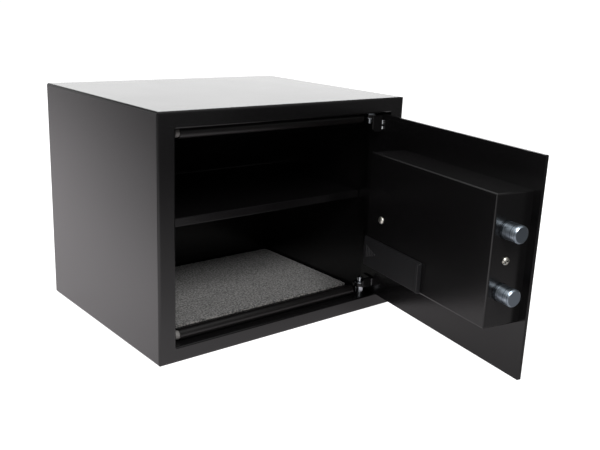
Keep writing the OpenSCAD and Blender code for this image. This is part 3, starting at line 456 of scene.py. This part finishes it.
# Film-jacketed cell: a slate blue film with a smooth gloss round the can, and bare bright steel at its ends.
film_cloud, end_facing = 0.01, 0.9
cell_jacket, tree, shader, place = start_material("film_jacketed_cell")
facing = add(tree, "ShaderNodeVectorMath", {0: place.node.outputs["Normal"],
                                            1: (math.cos(door_swing), math.sin(door_swing), 0.0)},
             operation="DOT_PRODUCT")
endwise = add(tree, "ShaderNodeMath", {0: facing.outputs["Value"]}, operation="ABSOLUTE")
end = add(tree, "ShaderNodeMath", {0: endwise.outputs[0], 1: end_facing}, operation="GREATER_THAN")
gloss = add(tree, "ShaderNodeTexNoise", {"Vector": place, "Scale": 1 / film_cloud, "Detail": 2.0})
film = add(tree, "ShaderNodeMix", {0: gloss.outputs["Fac"], 6: linear("#3e4f70"), 7: linear("#4c5f84")},
           data_type="RGBA")
jacket = add(tree, "ShaderNodeMix", {0: end.outputs[0], 6: film.outputs[2], 7: linear("#c4c7ca")},
             data_type="RGBA")
wrap = add(tree, "ShaderNodeMapRange", {"Value": gloss.outputs["Fac"], "To Min": 0.25, "To Max": 0.38})
feed(tree, shader, {"Base Color": jacket.outputs[2], "Metallic": end.outputs[0],
                    "Roughness": wrap.outputs["Result"]})
coat(cell_jacket, "battery_cells")
coat(zinc_plate, "battery_contacts")


# Control board and ribbon lead.
# A glass-fibre board under green solder mask that stands on brass spacers, and a flat grey lead that runs
# from it through a slot in the door to the keypad's board.

# Solder mask: a half-gloss bottle green over a fine glass weave, with paler lines 1 mm apart where copper
# tracks lie under it. A row of the brick pattern is a quarter of the pattern's unit.
weave_size, track_gap, row_share = 0.0008, 0.001, 0.25
solder_mask, tree, shader, place = start_material("green_solder_mask")
weave = add(tree, "ShaderNodeTexNoise", {"Vector": place, "Scale": 1 / weave_size, "Detail": 2.0})
tracks = add(tree, "ShaderNodeTexBrick", {
    "Vector": place, "Scale": row_share / track_gap, "Color1": linear("#1b5637"),
    "Color2": linear("#236443"), "Mortar": linear("#2f7a52")})
mask = add(tree, "ShaderNodeMapRange", {"Value": weave.outputs["Fac"], "To Min": 0.3, "To Max": 0.45})
feed(tree, shader, {"Base Color": tracks.outputs["Color"], "Roughness": mask.outputs["Result"]})
coat(solder_mask, "circuit_board", "keypad_board")
coat(turned_brass, "board_spacers")

# Ribbon vinyl: a smooth mid grey, ribbed light and dark by the wires that run side by side in it.
core_pitch = 0.00127
ribbon_vinyl, tree, shader, place = start_material("grey_ribbon_vinyl")
along = add(tree, "ShaderNodeMapping", {"Vector": place, "Rotation": (0.0, 0.0, -door_swing)})
cores = add(tree, "ShaderNodeTexWave", {"Vector": along.outputs["Vector"], "Scale": 1 / core_pitch / math.pi},
            bands_direction="X")
vinyl = add(tree, "ShaderNodeMix", {0: cores.outputs["Fac"], 6: linear("#7d7e80"), 7: linear("#a9aaac")},
            data_type="RGBA")
ridge = add(tree, "ShaderNodeBump", {"Height": cores.outputs["Fac"], "Strength": 0.5, "Distance": 0.0003})
feed(tree, shader, {"Base Color": vinyl.outputs[2], "Normal": ridge.outputs["Normal"], "Roughness": 0.45})
coat(ribbon_vinyl, "ribbon_cable")


# Lock cover.
# A box folded from 1.5 mm steel sheet over the lock's works, coated with the door and held by three
# pan-head screws.

coat(powder_coat, "lock_cover")


# Pan-head screws.
# Zinc-plated steel screws with a rolled thread and a pan head with a single slot: three hold the lock
# cover, two the gear motor and four the keypad.

# Tumbled zinc plate: paler, warmer and a little duller than on the turned pins, with painted shade in the
# slot and under the head's rim, darkest where the head is most enclosed.
bloom_size, shade_reach = 0.002, 0.0025
screw_zinc, tree, shader, place = start_material("tumbled_zinc_plate")
bloom = add(tree, "ShaderNodeTexNoise", {"Vector": place, "Scale": 1 / bloom_size, "Detail": 3.0})
zinc = add(tree, "ShaderNodeMix", {0: bloom.outputs["Fac"], 6: linear("#e0ddd2"), 7: linear("#f6f4ea")},
           data_type="RGBA")
# Painted shade: where the head is enclosed within this reach, its colour darkens to a dark brown.
hollow = add(tree, "ShaderNodeAmbientOcclusion", {"Distance": shade_reach}, samples=8)
unshaded = add(tree, "ShaderNodeMapRange", {"Value": hollow.outputs["AO"], "From Min": 0.45, "From Max": 0.85})
shaded_zinc = add(tree, "ShaderNodeMix", {0: unshaded.outputs["Result"], 6: linear("#3a3733"), 7: zinc.outputs[2]},
             data_type="RGBA")
polish = add(tree, "ShaderNodeMapRange", {"Value": bloom.outputs["Fac"], "To Min": 0.30, "To Max": 0.42})
feed(tree, shader, {"Base Color": shaded_zinc.outputs[2], "Roughness": polish.outputs["Result"], "Metallic": 1.0})

screw_maker, asked = start_maker("pan_head_screws", {
    "Head Radius": 0.004, "Head Height": 0.0024, "Shank Radius": 0.0015, "Shank Length": 0.009,
    "Slot Width": 0.0011, "Slot Depth": 0.0012})
# The head is a flattened ball cut flat at its seat, which gives a pan head's round shoulder. The blocks that
# cut the seat and the slot reach well past the head.
ball = add(screw_maker, "GeometryNodeMeshUVSphere", {"Segments": 48, "Rings": 24,
                                                     "Radius": asked["Head Radius"]})
squat = add(screw_maker, "ShaderNodeMath", {0: asked["Head Height"], 1: asked["Head Radius"]},
            operation="DIVIDE")
flat = add(screw_maker, "ShaderNodeCombineXYZ", {"X": 1.0, "Y": 1.0, "Z": squat.outputs[0]})
round_ball = add(screw_maker, "GeometryNodeSetShadeSmooth", {"Geometry": ball.outputs["Mesh"]})
dome = add(screw_maker, "GeometryNodeTransform", {"Geometry": round_ball.outputs["Geometry"],
                                                  "Scale": flat.outputs[0]})
seat_size = add(screw_maker, "ShaderNodeVectorMath", {0: (4.0, 4.0, 2.0), "Scale": asked["Head Radius"]},
                operation="SCALE")
seat = add(screw_maker, "GeometryNodeMeshCube", {"Size": seat_size.outputs["Vector"]})
under = add(screw_maker, "ShaderNodeMath", {0: asked["Head Radius"], 1: -1.0}, operation="MULTIPLY")
seat_at = add(screw_maker, "ShaderNodeCombineXYZ", {"Z": under.outputs[0]})
below = add(screw_maker, "GeometryNodeTransform", {"Geometry": seat.outputs["Mesh"],
                                                   "Translation": seat_at.outputs[0]})
long = add(screw_maker, "ShaderNodeMath", {0: asked["Head Radius"], 1: 3.0}, operation="MULTIPLY")
deep = add(screw_maker, "ShaderNodeMath", {0: asked["Slot Depth"], 1: 2.0}, operation="MULTIPLY")
slot_size = add(screw_maker, "ShaderNodeCombineXYZ", {"X": asked["Slot Width"], "Y": long.outputs[0],
                                                      "Z": deep.outputs[0]})
slot = add(screw_maker, "GeometryNodeMeshCube", {"Size": slot_size.outputs[0]})
slot_at = add(screw_maker, "ShaderNodeCombineXYZ", {"Z": asked["Head Height"]})
groove = add(screw_maker, "GeometryNodeTransform", {"Geometry": slot.outputs["Mesh"],
                                                    "Translation": slot_at.outputs[0]})
head = add(screw_maker, "GeometryNodeMeshBoolean", {"Mesh 1": dome.outputs["Geometry"]},
           operation="DIFFERENCE", solver="EXACT")
feed(screw_maker, head, {"Mesh 2": below.outputs["Geometry"]})
feed(screw_maker, head, {"Mesh 2": groove.outputs["Geometry"]})
# The shank's rolled thread is a stack of ridges: each rises over this height and falls over as much again,
# and between them the shank is cut to this share of its radius.
thread_rise, thread_root = 0.0005, 0.82
steps = add(screw_maker, "ShaderNodeMath", {0: asked["Shank Length"], 1: thread_rise / 2}, operation="DIVIDE")
count = add(screw_maker, "FunctionNodeFloatToInt", {"Float": steps.outputs[0]}, rounding_mode="CEILING")
rod = add(screw_maker, "GeometryNodeMeshCylinder", {
    "Vertices": 16, "Side Segments": count.outputs[0], "Radius": asked["Shank Radius"],
    "Depth": asked["Shank Length"]})
half = add(screw_maker, "ShaderNodeMath", {0: asked["Shank Length"], 1: -0.5}, operation="MULTIPLY")
rod_at = add(screw_maker, "ShaderNodeCombineXYZ", {"Z": half.outputs[0]})
shank = add(screw_maker, "GeometryNodeTransform", {"Geometry": rod.outputs["Mesh"],
                                                   "Translation": rod_at.outputs[0]})
spot = add(screw_maker, "GeometryNodeInputPosition").outputs["Position"]
height = add(screw_maker, "ShaderNodeSeparateXYZ", {"Vector": spot}).outputs["Z"]
ridge = add(screw_maker, "ShaderNodeMath", {0: height, 1: thread_rise}, operation="PINGPONG")
bite = add(screw_maker, "ShaderNodeMapRange", {"Value": ridge.outputs[0], "From Max": thread_rise,
                                               "To Min": thread_root, "To Max": 1.0}).outputs["Result"]
thin = add(screw_maker, "ShaderNodeCombineXYZ", {"X": bite, "Y": bite, "Z": 1.0})
cut = add(screw_maker, "ShaderNodeVectorMath", {0: spot, 1: thin.outputs[0]}, operation="MULTIPLY")
thread = add(screw_maker, "GeometryNodeSetPosition", {"Geometry": shank.outputs["Geometry"],
                                                      "Position": cut.outputs["Vector"]})
screw = add(screw_maker, "GeometryNodeJoinGeometry", {"Geometry": head.outputs["Mesh"]})
feed(screw_maker, screw, {"Geometry": thread.outputs["Geometry"]})
lead = add(screw_maker, "GeometryNodeInputNamedAttribute", {"Name": "axis"}, data_type="FLOAT_VECTOR")
turn = add(screw_maker, "GeometryNodeInputNamedAttribute", {"Name": "turn"}, data_type="FLOAT")
aim = add(screw_maker, "FunctionNodeAlignRotationToVector", {"Vector": lead.outputs["Attribute"]}, axis="Z")
spin_by = add(screw_maker, "ShaderNodeCombineXYZ", {"Z": turn.outputs["Attribute"]})
spin = add(screw_maker, "FunctionNodeRotateRotation", {
    "Rotation": aim.outputs["Rotation"], "Rotate By": spin_by.outputs[0]}, rotation_space="LOCAL")
dots = add(screw_maker, "GeometryNodeMeshToPoints", {"Mesh": asked["Geometry"]})
set_out = add(screw_maker, "GeometryNodeInstanceOnPoints", {
    "Points": dots.outputs["Points"], "Instance": screw.outputs["Geometry"],
    "Rotation": spin.outputs["Rotation"]})
end_maker(screw_maker, set_out.outputs["Instances"], asked["Finish"])


def drive_screws(name, node, sizes, seats):
    """Makes one node's screws: a seat is a place, the way it faces and the slot's turn in degrees."""
    places, facings, turns = zip(*seats)
    seat_mesh = bpy.data.meshes.new(name + "_seats")
    seat_mesh.from_pydata(places, [], [])
    axes = seat_mesh.attributes.new("axis", "FLOAT_VECTOR", "POINT")
    axes.data.foreach_set("vector", [c for facing in facings for c in facing])
    slots = seat_mesh.attributes.new("turn", "FLOAT", "POINT")
    slots.data.foreach_set("value", [math.radians(turn) for turn in turns])
    seat_object = put(name + "_seats", seat_mesh)
    screws = grow(name, seat_object, screw_maker, {"Finish": screw_zinc, **sizes})
    bpy.data.objects.remove(seat_object)
    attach(screws, "door")
    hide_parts(node)


# The screws' places on the shut door, in millimetres.
inwards = shut_to_open.to_3x3() @ Vector((0, 1, 0))
latchwards = shut_to_open.to_3x3() @ Vector((-1, 0, 0))
lock_height = 163.25
cover_latch_side, cover_hinge_side, cover_face = -155.0, 82.5, 54.0
side_screw_depth = 33.0
face_screw_across, face_screw_height = 50.0, 156.0
drive_screws("slotted_cover_screws", "cover_screws", {
    "Head Radius": 0.00475, "Head Height": 0.003, "Shank Radius": 0.0025, "Slot Width": 0.0016,
    "Slot Depth": 0.0021}, [
    (on_door(face_screw_across, cover_face, face_screw_height), inwards, 80),
    (on_door(cover_latch_side, side_screw_depth, lock_height), latchwards, 105),
    (on_door(cover_hinge_side, side_screw_depth, lock_height), -latchwards, 60)])
gearbox_across, gearbox_flange, gearbox_height, gearbox_reach = -60.0, 7.0, 149.75, 20.0
drive_screws("slotted_gearbox_screws", "gearbox_screws", {"Shank Length": 0.006}, [
    (on_door(gearbox_across, gearbox_flange, gearbox_height - gearbox_reach), inwards, 20),
    (on_door(gearbox_across, gearbox_flange, gearbox_height + gearbox_reach), inwards, 110)])
fascia_across, plate_back = -45.0, 4.0
fascia_reach_across, fascia_reach_up = 66.0, 50.0
drive_screws("slotted_fascia_screws", "fascia_screws", {"Shank Length": 0.012}, [
    (on_door(fascia_across + x * fascia_reach_across, plate_back, lock_height + z * fascia_reach_up), inwards,
     45 + 30 * x + 10 * z) for x in (-1, 1) for z in (-1, 1)])


# Battery lid.
# A moulded ABS lid that slides sideways to unhook, with a raised finger lip at its latch end and ribs
# that narrow to show which way it goes; a shade paler than the coated sheet.

coat(black_abs, "battery_lid")


# Keypad, and the gearbox's housing.
# A moulded fascia screwed on from inside the door, with a smoked window over a four-digit display, a silicone
# key mat behind and a metal-shelled socket below; the gearbox's housing is moulded of the same plastic.

# Satin ABS: a dark grey, a shade paler than the coat, with an even satin gloss over a fine grain. The mould's
# grain is about 0.1 mm and is drawn at 0.6 mm so that it shows.
grain_size, flow_size = 0.0006, 0.05
fascia_abs, tree, shader, place = start_material("satin_fascia_abs")
grain = add(tree, "ShaderNodeTexNoise", {"Vector": place, "Scale": 1 / grain_size, "Detail": 3.0})
flow = add(tree, "ShaderNodeTexNoise", {"Vector": place, "Scale": 1 / flow_size, "Detail": 2.0})
dark = add(tree, "ShaderNodeMix", {0: flow.outputs["Fac"], 6: linear("#1b1b1d"), 7: linear("#212123")},
           data_type="RGBA")
matt = add(tree, "ShaderNodeMapRange", {"Value": grain.outputs["Fac"], "To Min": 0.36, "To Max": 0.5})
spark = add(tree, "ShaderNodeBump", {"Height": grain.outputs["Fac"], "Strength": 0.2, "Distance": 0.0001})
feed(tree, shader, {"Base Color": dark.outputs[2], "Roughness": matt.outputs["Result"],
                    "Normal": spark.outputs["Normal"], "IOR": 1.52})
coat(fascia_abs, "keypad_fascia", "gearbox", "display_module")

# Smoked acrylic: a mirror-smooth black with clear reflections, and a faint haze in patches of 20 mm.
haze_size = 0.02
smoked_acrylic, tree, shader, place = start_material("smoked_acrylic")
mottle(tree, shader, place, haze_size, 2.0, ("#141416", "#1a1a1d"), (0.04, 0.08))
feed(tree, shader, {"IOR": 1.49})
coat(smoked_acrylic, "display_window")

# Moulded silicone: a dark grey with hardly any gloss, bloomed in patches of 8 mm.
bloom_size = 0.008
silicone, tree, shader, place = start_material("grey_silicone")
mottle(tree, shader, place, bloom_size, 3.0, ("#525357", "#5d5e62"), (0.55, 0.7))
coat(silicone, "key_mat")
coat(zinc_plate, "service_port")


# Keys and their numerals.
# Twelve pale grey moulded caps that stand through the fascia on the silicone mat, with dark printed
# numerals, a cross on the clear key and a padlock on the lock key.

# Pale ABS: a light, slightly cool grey with a low even gloss. The mould's grain is about 0.1 mm and is drawn
# at 0.5 mm so that it shows.
grain_size, flow_size = 0.0005, 0.02
key_abs, tree, shader, place = start_material("pale_grey_key_abs")
grain = add(tree, "ShaderNodeTexNoise", {"Vector": place, "Scale": 1 / grain_size, "Detail": 3.0})
flow = add(tree, "ShaderNodeTexNoise", {"Vector": place, "Scale": 1 / flow_size, "Detail": 2.0})
pale = add(tree, "ShaderNodeMix", {0: flow.outputs["Fac"], 6: linear("#c6c8ca"), 7: linear("#d2d4d6")},
           data_type="RGBA")
matt = add(tree, "ShaderNodeMapRange", {"Value": grain.outputs["Fac"], "To Min": 0.36, "To Max": 0.5})
spark = add(tree, "ShaderNodeBump", {"Height": grain.outputs["Fac"], "Strength": 0.12, "Distance": 0.0001})
feed(tree, shader, {"Base Color": pale.outputs[2], "Roughness": matt.outputs["Result"],
                    "Normal": spark.outputs["Normal"]})
key_names = [f"key_{sign}" for sign in (1, 2, 3, 4, 5, 6, 7, 8, 9, "clear", 0, "lock")]
coat(key_abs, *key_names)

# Pad-printed ink: a flat near black, a little thin and grey in spots of 1 mm.
spot_size = 0.001
key_ink, tree, shader, place = start_material("pad_printed_ink")
cover = add(tree, "ShaderNodeTexNoise", {"Vector": place, "Scale": 1 / spot_size, "Detail": 2.0})
ink = add(tree, "ShaderNodeMix", {0: cover.outputs["Fac"], 6: linear("#17181a"), 7: linear("#242528")},
          data_type="RGBA")
feed(tree, shader, {"Base Color": ink.outputs[2], "Roughness": 0.5})

# Sizes and places of the keys and their signs on the shut door, in millimetres.
key_first = (-25.0, 193.25)
key_pitch = (23.0, 20.0)
keys_across = 3
key_face = -17.5
dish_radius, dish_depth = 40.0, 0.6
print_thick = 0.05
numeral_size = 8.0
cross_reach, cross_arm = 2.6, 0.6
lock_half, lock_foot, lock_top = 2.2, -2.9, 0.3
bow_outer, bow_inner, bow_middle, bow_foot, bow_steps = 1.7, 1.05, 1.2, 0.35, 16


def sign_outline(name):
    """A printed sign in millimetres: a text curve for a numeral, outlines for the cross and the padlock."""
    if name not in ("key_clear", "key_lock"):
        numeral = bpy.data.curves.new("sign", "FONT")
        numeral.body = name[-1]
        numeral.align_x, numeral.align_y = "CENTER", "CENTER"
        numeral.size = numeral_size
        return numeral
    shape = bpy.data.curves.new("sign", "CURVE")
    shape.dimensions = "2D"
    shape.fill_mode = "BOTH"
    if name == "key_clear":
        tip = cross_reach - cross_arm
        arm = [(-cross_reach, -tip), (-tip, -cross_reach), (0, -cross_arm)]
        arms = []
        for quarter in range(4):
            arms += arm
            arm = [(-y, x) for x, y in arm]
        rings = [arms]
    else:
        body = [(-lock_half, lock_foot), (lock_half, lock_foot), (lock_half, lock_top),
                (-lock_half, lock_top)]
        turns = [math.pi * k / bow_steps for k in range(bow_steps + 1)]
        outer = [(bow_outer * math.cos(t), bow_middle + bow_outer * math.sin(t)) for t in turns]
        inner = [(bow_inner * math.cos(t), bow_middle + bow_inner * math.sin(t)) for t in reversed(turns)]
        bow = [(bow_outer, bow_foot)] + outer + [(-bow_outer, bow_foot)]
        bow += [(-bow_inner, bow_foot)] + inner + [(bow_inner, bow_foot)]
        rings = [body, bow]
    for ring in rings:
        spline = shape.splines.new("POLY")
        spline.points.add(len(ring) - 1)
        for dot, (x, y) in zip(spline.points, ring):
            dot.co = (x, y, 0, 1)
        spline.use_cyclic_u = True
    return shape


for number, name in enumerate(key_names):
    outline = sign_outline(name)
    outline.extrude = print_thick / 2
    drawn = put("sign", outline)
    sign_mesh = bpy.data.meshes.new_from_object(drawn.evaluated_get(bpy.context.evaluated_depsgraph_get()))
    bpy.data.objects.remove(drawn)
    spans = [[vertex.co[k] for vertex in sign_mesh.vertices] for k in (0, 1)]
    middle = [(min(span) + max(span)) / 2 for span in spans]
    across = key_first[0] + number % keys_across * key_pitch[0]
    up = key_first[1] - number // keys_across * key_pitch[1]
    for vertex in sign_mesh.vertices:
        u, v, w = vertex.co.x - middle[0], vertex.co.y - middle[1], vertex.co.z
        dish = dish_depth - dish_radius + math.sqrt(dish_radius ** 2 - u * u)
        vertex.co = on_door(across + u, key_face + dish - w, up + v)
    sign_mesh.name = "sign_" + name
    sign_mesh.materials.clear()
    sign_mesh.materials.append(key_ink)
    sign = put("sign_" + name, sign_mesh)
    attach(sign, name)


# Studio.
# A white table under a dark room: a low white screen behind the safe, a soft lamp above its front left and
# a camera a little above the cabinet's top, at its front left. The table grows dim towards the camera.

table_left, table_right, table_front, table_back = -3.0, 3.0, -1.6, 3.0
table_mesh = bpy.data.meshes.new("table")
table_mesh.from_pydata([(table_left, table_front, 0), (table_right, table_front, 0),
                        (table_right, table_back, 0), (table_left, table_back, 0)], [], [(0, 1, 2, 3)])
table = put("table", table_mesh)

# White laminate that glows with painted light: it shows plain white, and the safe's black coat mirrors its
# soft gradients of painted light and shade, with a painted shadow under the door; its colour is painted
# darker where the glow is dim. Each fade takes its light from one share to another between two places along
# a measure.
# The middle of the painted shadow under the door.
door_shadow_middle = (0.2, -0.45, 0.0)
lean, close_light, glow_share, shown_white = 2.46, 1.32, 0.55, 1.05
white_table, tree, shader, spot = start_material("white_table")
place = add(tree, "ShaderNodeSeparateXYZ", {"Vector": spot})
x, y = place.outputs["X"], place.outputs["Y"]
off = add(tree, "ShaderNodeVectorMath", {0: spot, 1: door_shadow_middle}, operation="DISTANCE").outputs["Value"]
drift = add(tree, "ShaderNodeMath", {0: x, 1: lean, 2: y}, operation="MULTIPLY_ADD").outputs[0]
fades = {}
for name, measure, start, end, before, after, curve in (
        ("near the camera", y, -1.08, -0.2, 0.02, 1.0, "SMOOTHSTEP"),
        ("far left", x, -1.3, -0.4, 0.6, 1.15, "SMOOTHSTEP"),
        ("beside the safe", x, -0.4, -0.15, 1.28, 1.0, "SMOOTHSTEP"),
        ("under the door", off, 0.1, 0.55, 0.52, 1.0, "SMOOTHSTEP"),
        ("aslant", drift, -1.25, -0.3, 0.3, close_light, "LINEAR"),
        ("close by", x, -0.5, -0.2, 0.0, 1.0, "LINEAR"),
        ("past the front", y, -0.2, 0.05, 0.0, 1.0, "LINEAR")):
    fades[name] = add(tree, "ShaderNodeMapRange", {
        "Value": measure, "From Min": start, "From Max": end, "To Min": before, "To Max": after},
        interpolation_type=curve).outputs["Result"]
# Past the safe's front the table is dim to the far left and bright close by, which shades the cabinet's side.
shade = add(tree, "ShaderNodeMix", {0: fades["close by"], 2: fades["aslant"], 3: close_light},
            data_type="FLOAT")
lit = add(tree, "ShaderNodeMix", {0: fades["past the front"], 2: 1.0, 3: shade.outputs[0]}, data_type="FLOAT")
for name in ("far left", "beside the safe", "under the door", "near the camera"):
    lit = add(tree, "ShaderNodeMath", {0: lit.outputs[0], 1: fades[name]}, operation="MULTIPLY")
glowing = add(tree, "ShaderNodeMath", {0: lit.outputs[0], 1: glow_share}, operation="MULTIPLY")
seen = add(tree, "ShaderNodeLightPath").outputs["Is Camera Ray"]
shown = add(tree, "ShaderNodeMix", {0: seen, 2: glowing.outputs[0], 3: shown_white}, data_type="FLOAT")
tint = add(tree, "ShaderNodeMix", {0: seen, 6: linear("#fff7fb"), 7: linear("#ffffff")}, data_type="RGBA")
# Painted shade: the table's colour darkens along with its painted light.
white = add(tree, "ShaderNodeMix", {0: lit.outputs[0], 6: linear("#0c0c0c"), 7: linear("#b4b4b4")},
            data_type="RGBA")
feed(tree, shader, {"Emission Strength": shown.outputs[0], "Emission Color": tint.outputs[2],
                    "Base Color": white.outputs[2], "Specular IOR Level": 0.0, "Roughness": 0.9})
table_mesh.materials.append(white_table)

# The room: the screen's low band is bright to the right, and a dimmer canopy hangs behind and overhead. Each
# fade goes from one strength to another between two values of a measure of the direction.
room_lean = -0.5
sky = bpy.data.worlds.new("studio")
bpy.context.scene.world = sky
sky.use_nodes = True
tree = sky.node_tree
tree.nodes.clear()
way = add(tree, "ShaderNodeSeparateXYZ", {"Vector": add(tree, "ShaderNodeTexCoord").outputs["Generated"]})
x, y, z = way.outputs["X"], way.outputs["Y"], way.outputs["Z"]
leftwards = add(tree, "ShaderNodeMath", {0: x, 1: 0.0}, operation="MINIMUM")
slant = add(tree, "ShaderNodeMath", {0: leftwards.outputs[0], 1: room_lean, 2: z}, operation="MULTIPLY_ADD")
fades = {}
for name, measure, start, end, before, after in (
        ("behind", y, 0.1, 0.6, 0.0, 1.88),
        ("low", z, 0.24, 0.40, 1.0, 0.02),
        ("right", x, -0.5, 0.2, 0.25, 1.0),
        ("high", slant.outputs[0], 0.62, 0.78, 0.0, 0.62),
        ("overhead", z, 0.6, 0.8, 0.0, 0.5),
        ("in front", y, -0.6, 0.0, 0.16, 0.04)):
    fades[name] = add(tree, "ShaderNodeMapRange", {
        "Value": measure, "From Min": start, "From Max": end, "To Min": before, "To Max": after},
        interpolation_type="SMOOTHSTEP").outputs["Result"]
screen = add(tree, "ShaderNodeMath", {0: fades["behind"], 1: fades["low"]}, operation="MULTIPLY")
canopy = add(tree, "ShaderNodeMath", {0: fades["behind"], 1: fades["high"], 2: fades["in front"]},
             operation="MULTIPLY_ADD")
above = add(tree, "ShaderNodeMath", {0: canopy.outputs[0], 1: fades["overhead"]}, operation="ADD")
light = add(tree, "ShaderNodeMath", {0: screen.outputs[0], 1: fades["right"], 2: above.outputs[0]},
            operation="MULTIPLY_ADD")
seen = add(tree, "ShaderNodeLightPath").outputs["Is Camera Ray"]
shown = add(tree, "ShaderNodeMix", {0: seen, 2: light.outputs[0], 3: shown_white}, data_type="FLOAT")
glow = add(tree, "ShaderNodeBackground", {"Color": linear("#ffffff"), "Strength": shown.outputs[0]})
add(tree, "ShaderNodeOutputWorld", {"Surface": glow.outputs["Background"]})

lamp_at, lamp_aim = Vector((-0.65, -1.5, 1.45)), Vector((0.0, -0.1, 0.1))
lamp = put("soft_lamp", bpy.data.lights.new("soft_lamp", "AREA"))
lamp.data.shape = "SQUARE"
lamp.data.size = 0.8
lamp.data.energy = 29
lamp_turn = (lamp_aim - lamp_at).to_track_quat("-Z", "Y").to_matrix().to_4x4()
lamp.matrix_world = Matrix.Translation(lamp_at) @ lamp_turn

camera_at = Vector((-0.610634, -0.90153, 0.422358))
round_by, above_by, roll = math.radians(-39.773), math.radians(15.886), math.radians(2.402)
camera = put("camera", bpy.data.cameras.new("camera"))
level = math.cos(above_by)
back = Vector((math.sin(round_by) * level, -math.cos(round_by) * level, math.sin(above_by)))
right = Vector((math.cos(round_by), math.sin(round_by), 0))
up = back.cross(right)
right, up = math.cos(roll) * right + math.sin(roll) * up, math.cos(roll) * up - math.sin(roll) * right
camera.matrix_world = Matrix.Translation(camera_at) @ Matrix((right, up, back)).transposed().to_4x4()
camera.data.sensor_width = 36
camera.data.lens = 47.565
bpy.context.scene.camera = camera
bpy.context.scene.view_settings.view_transform = "Standard"
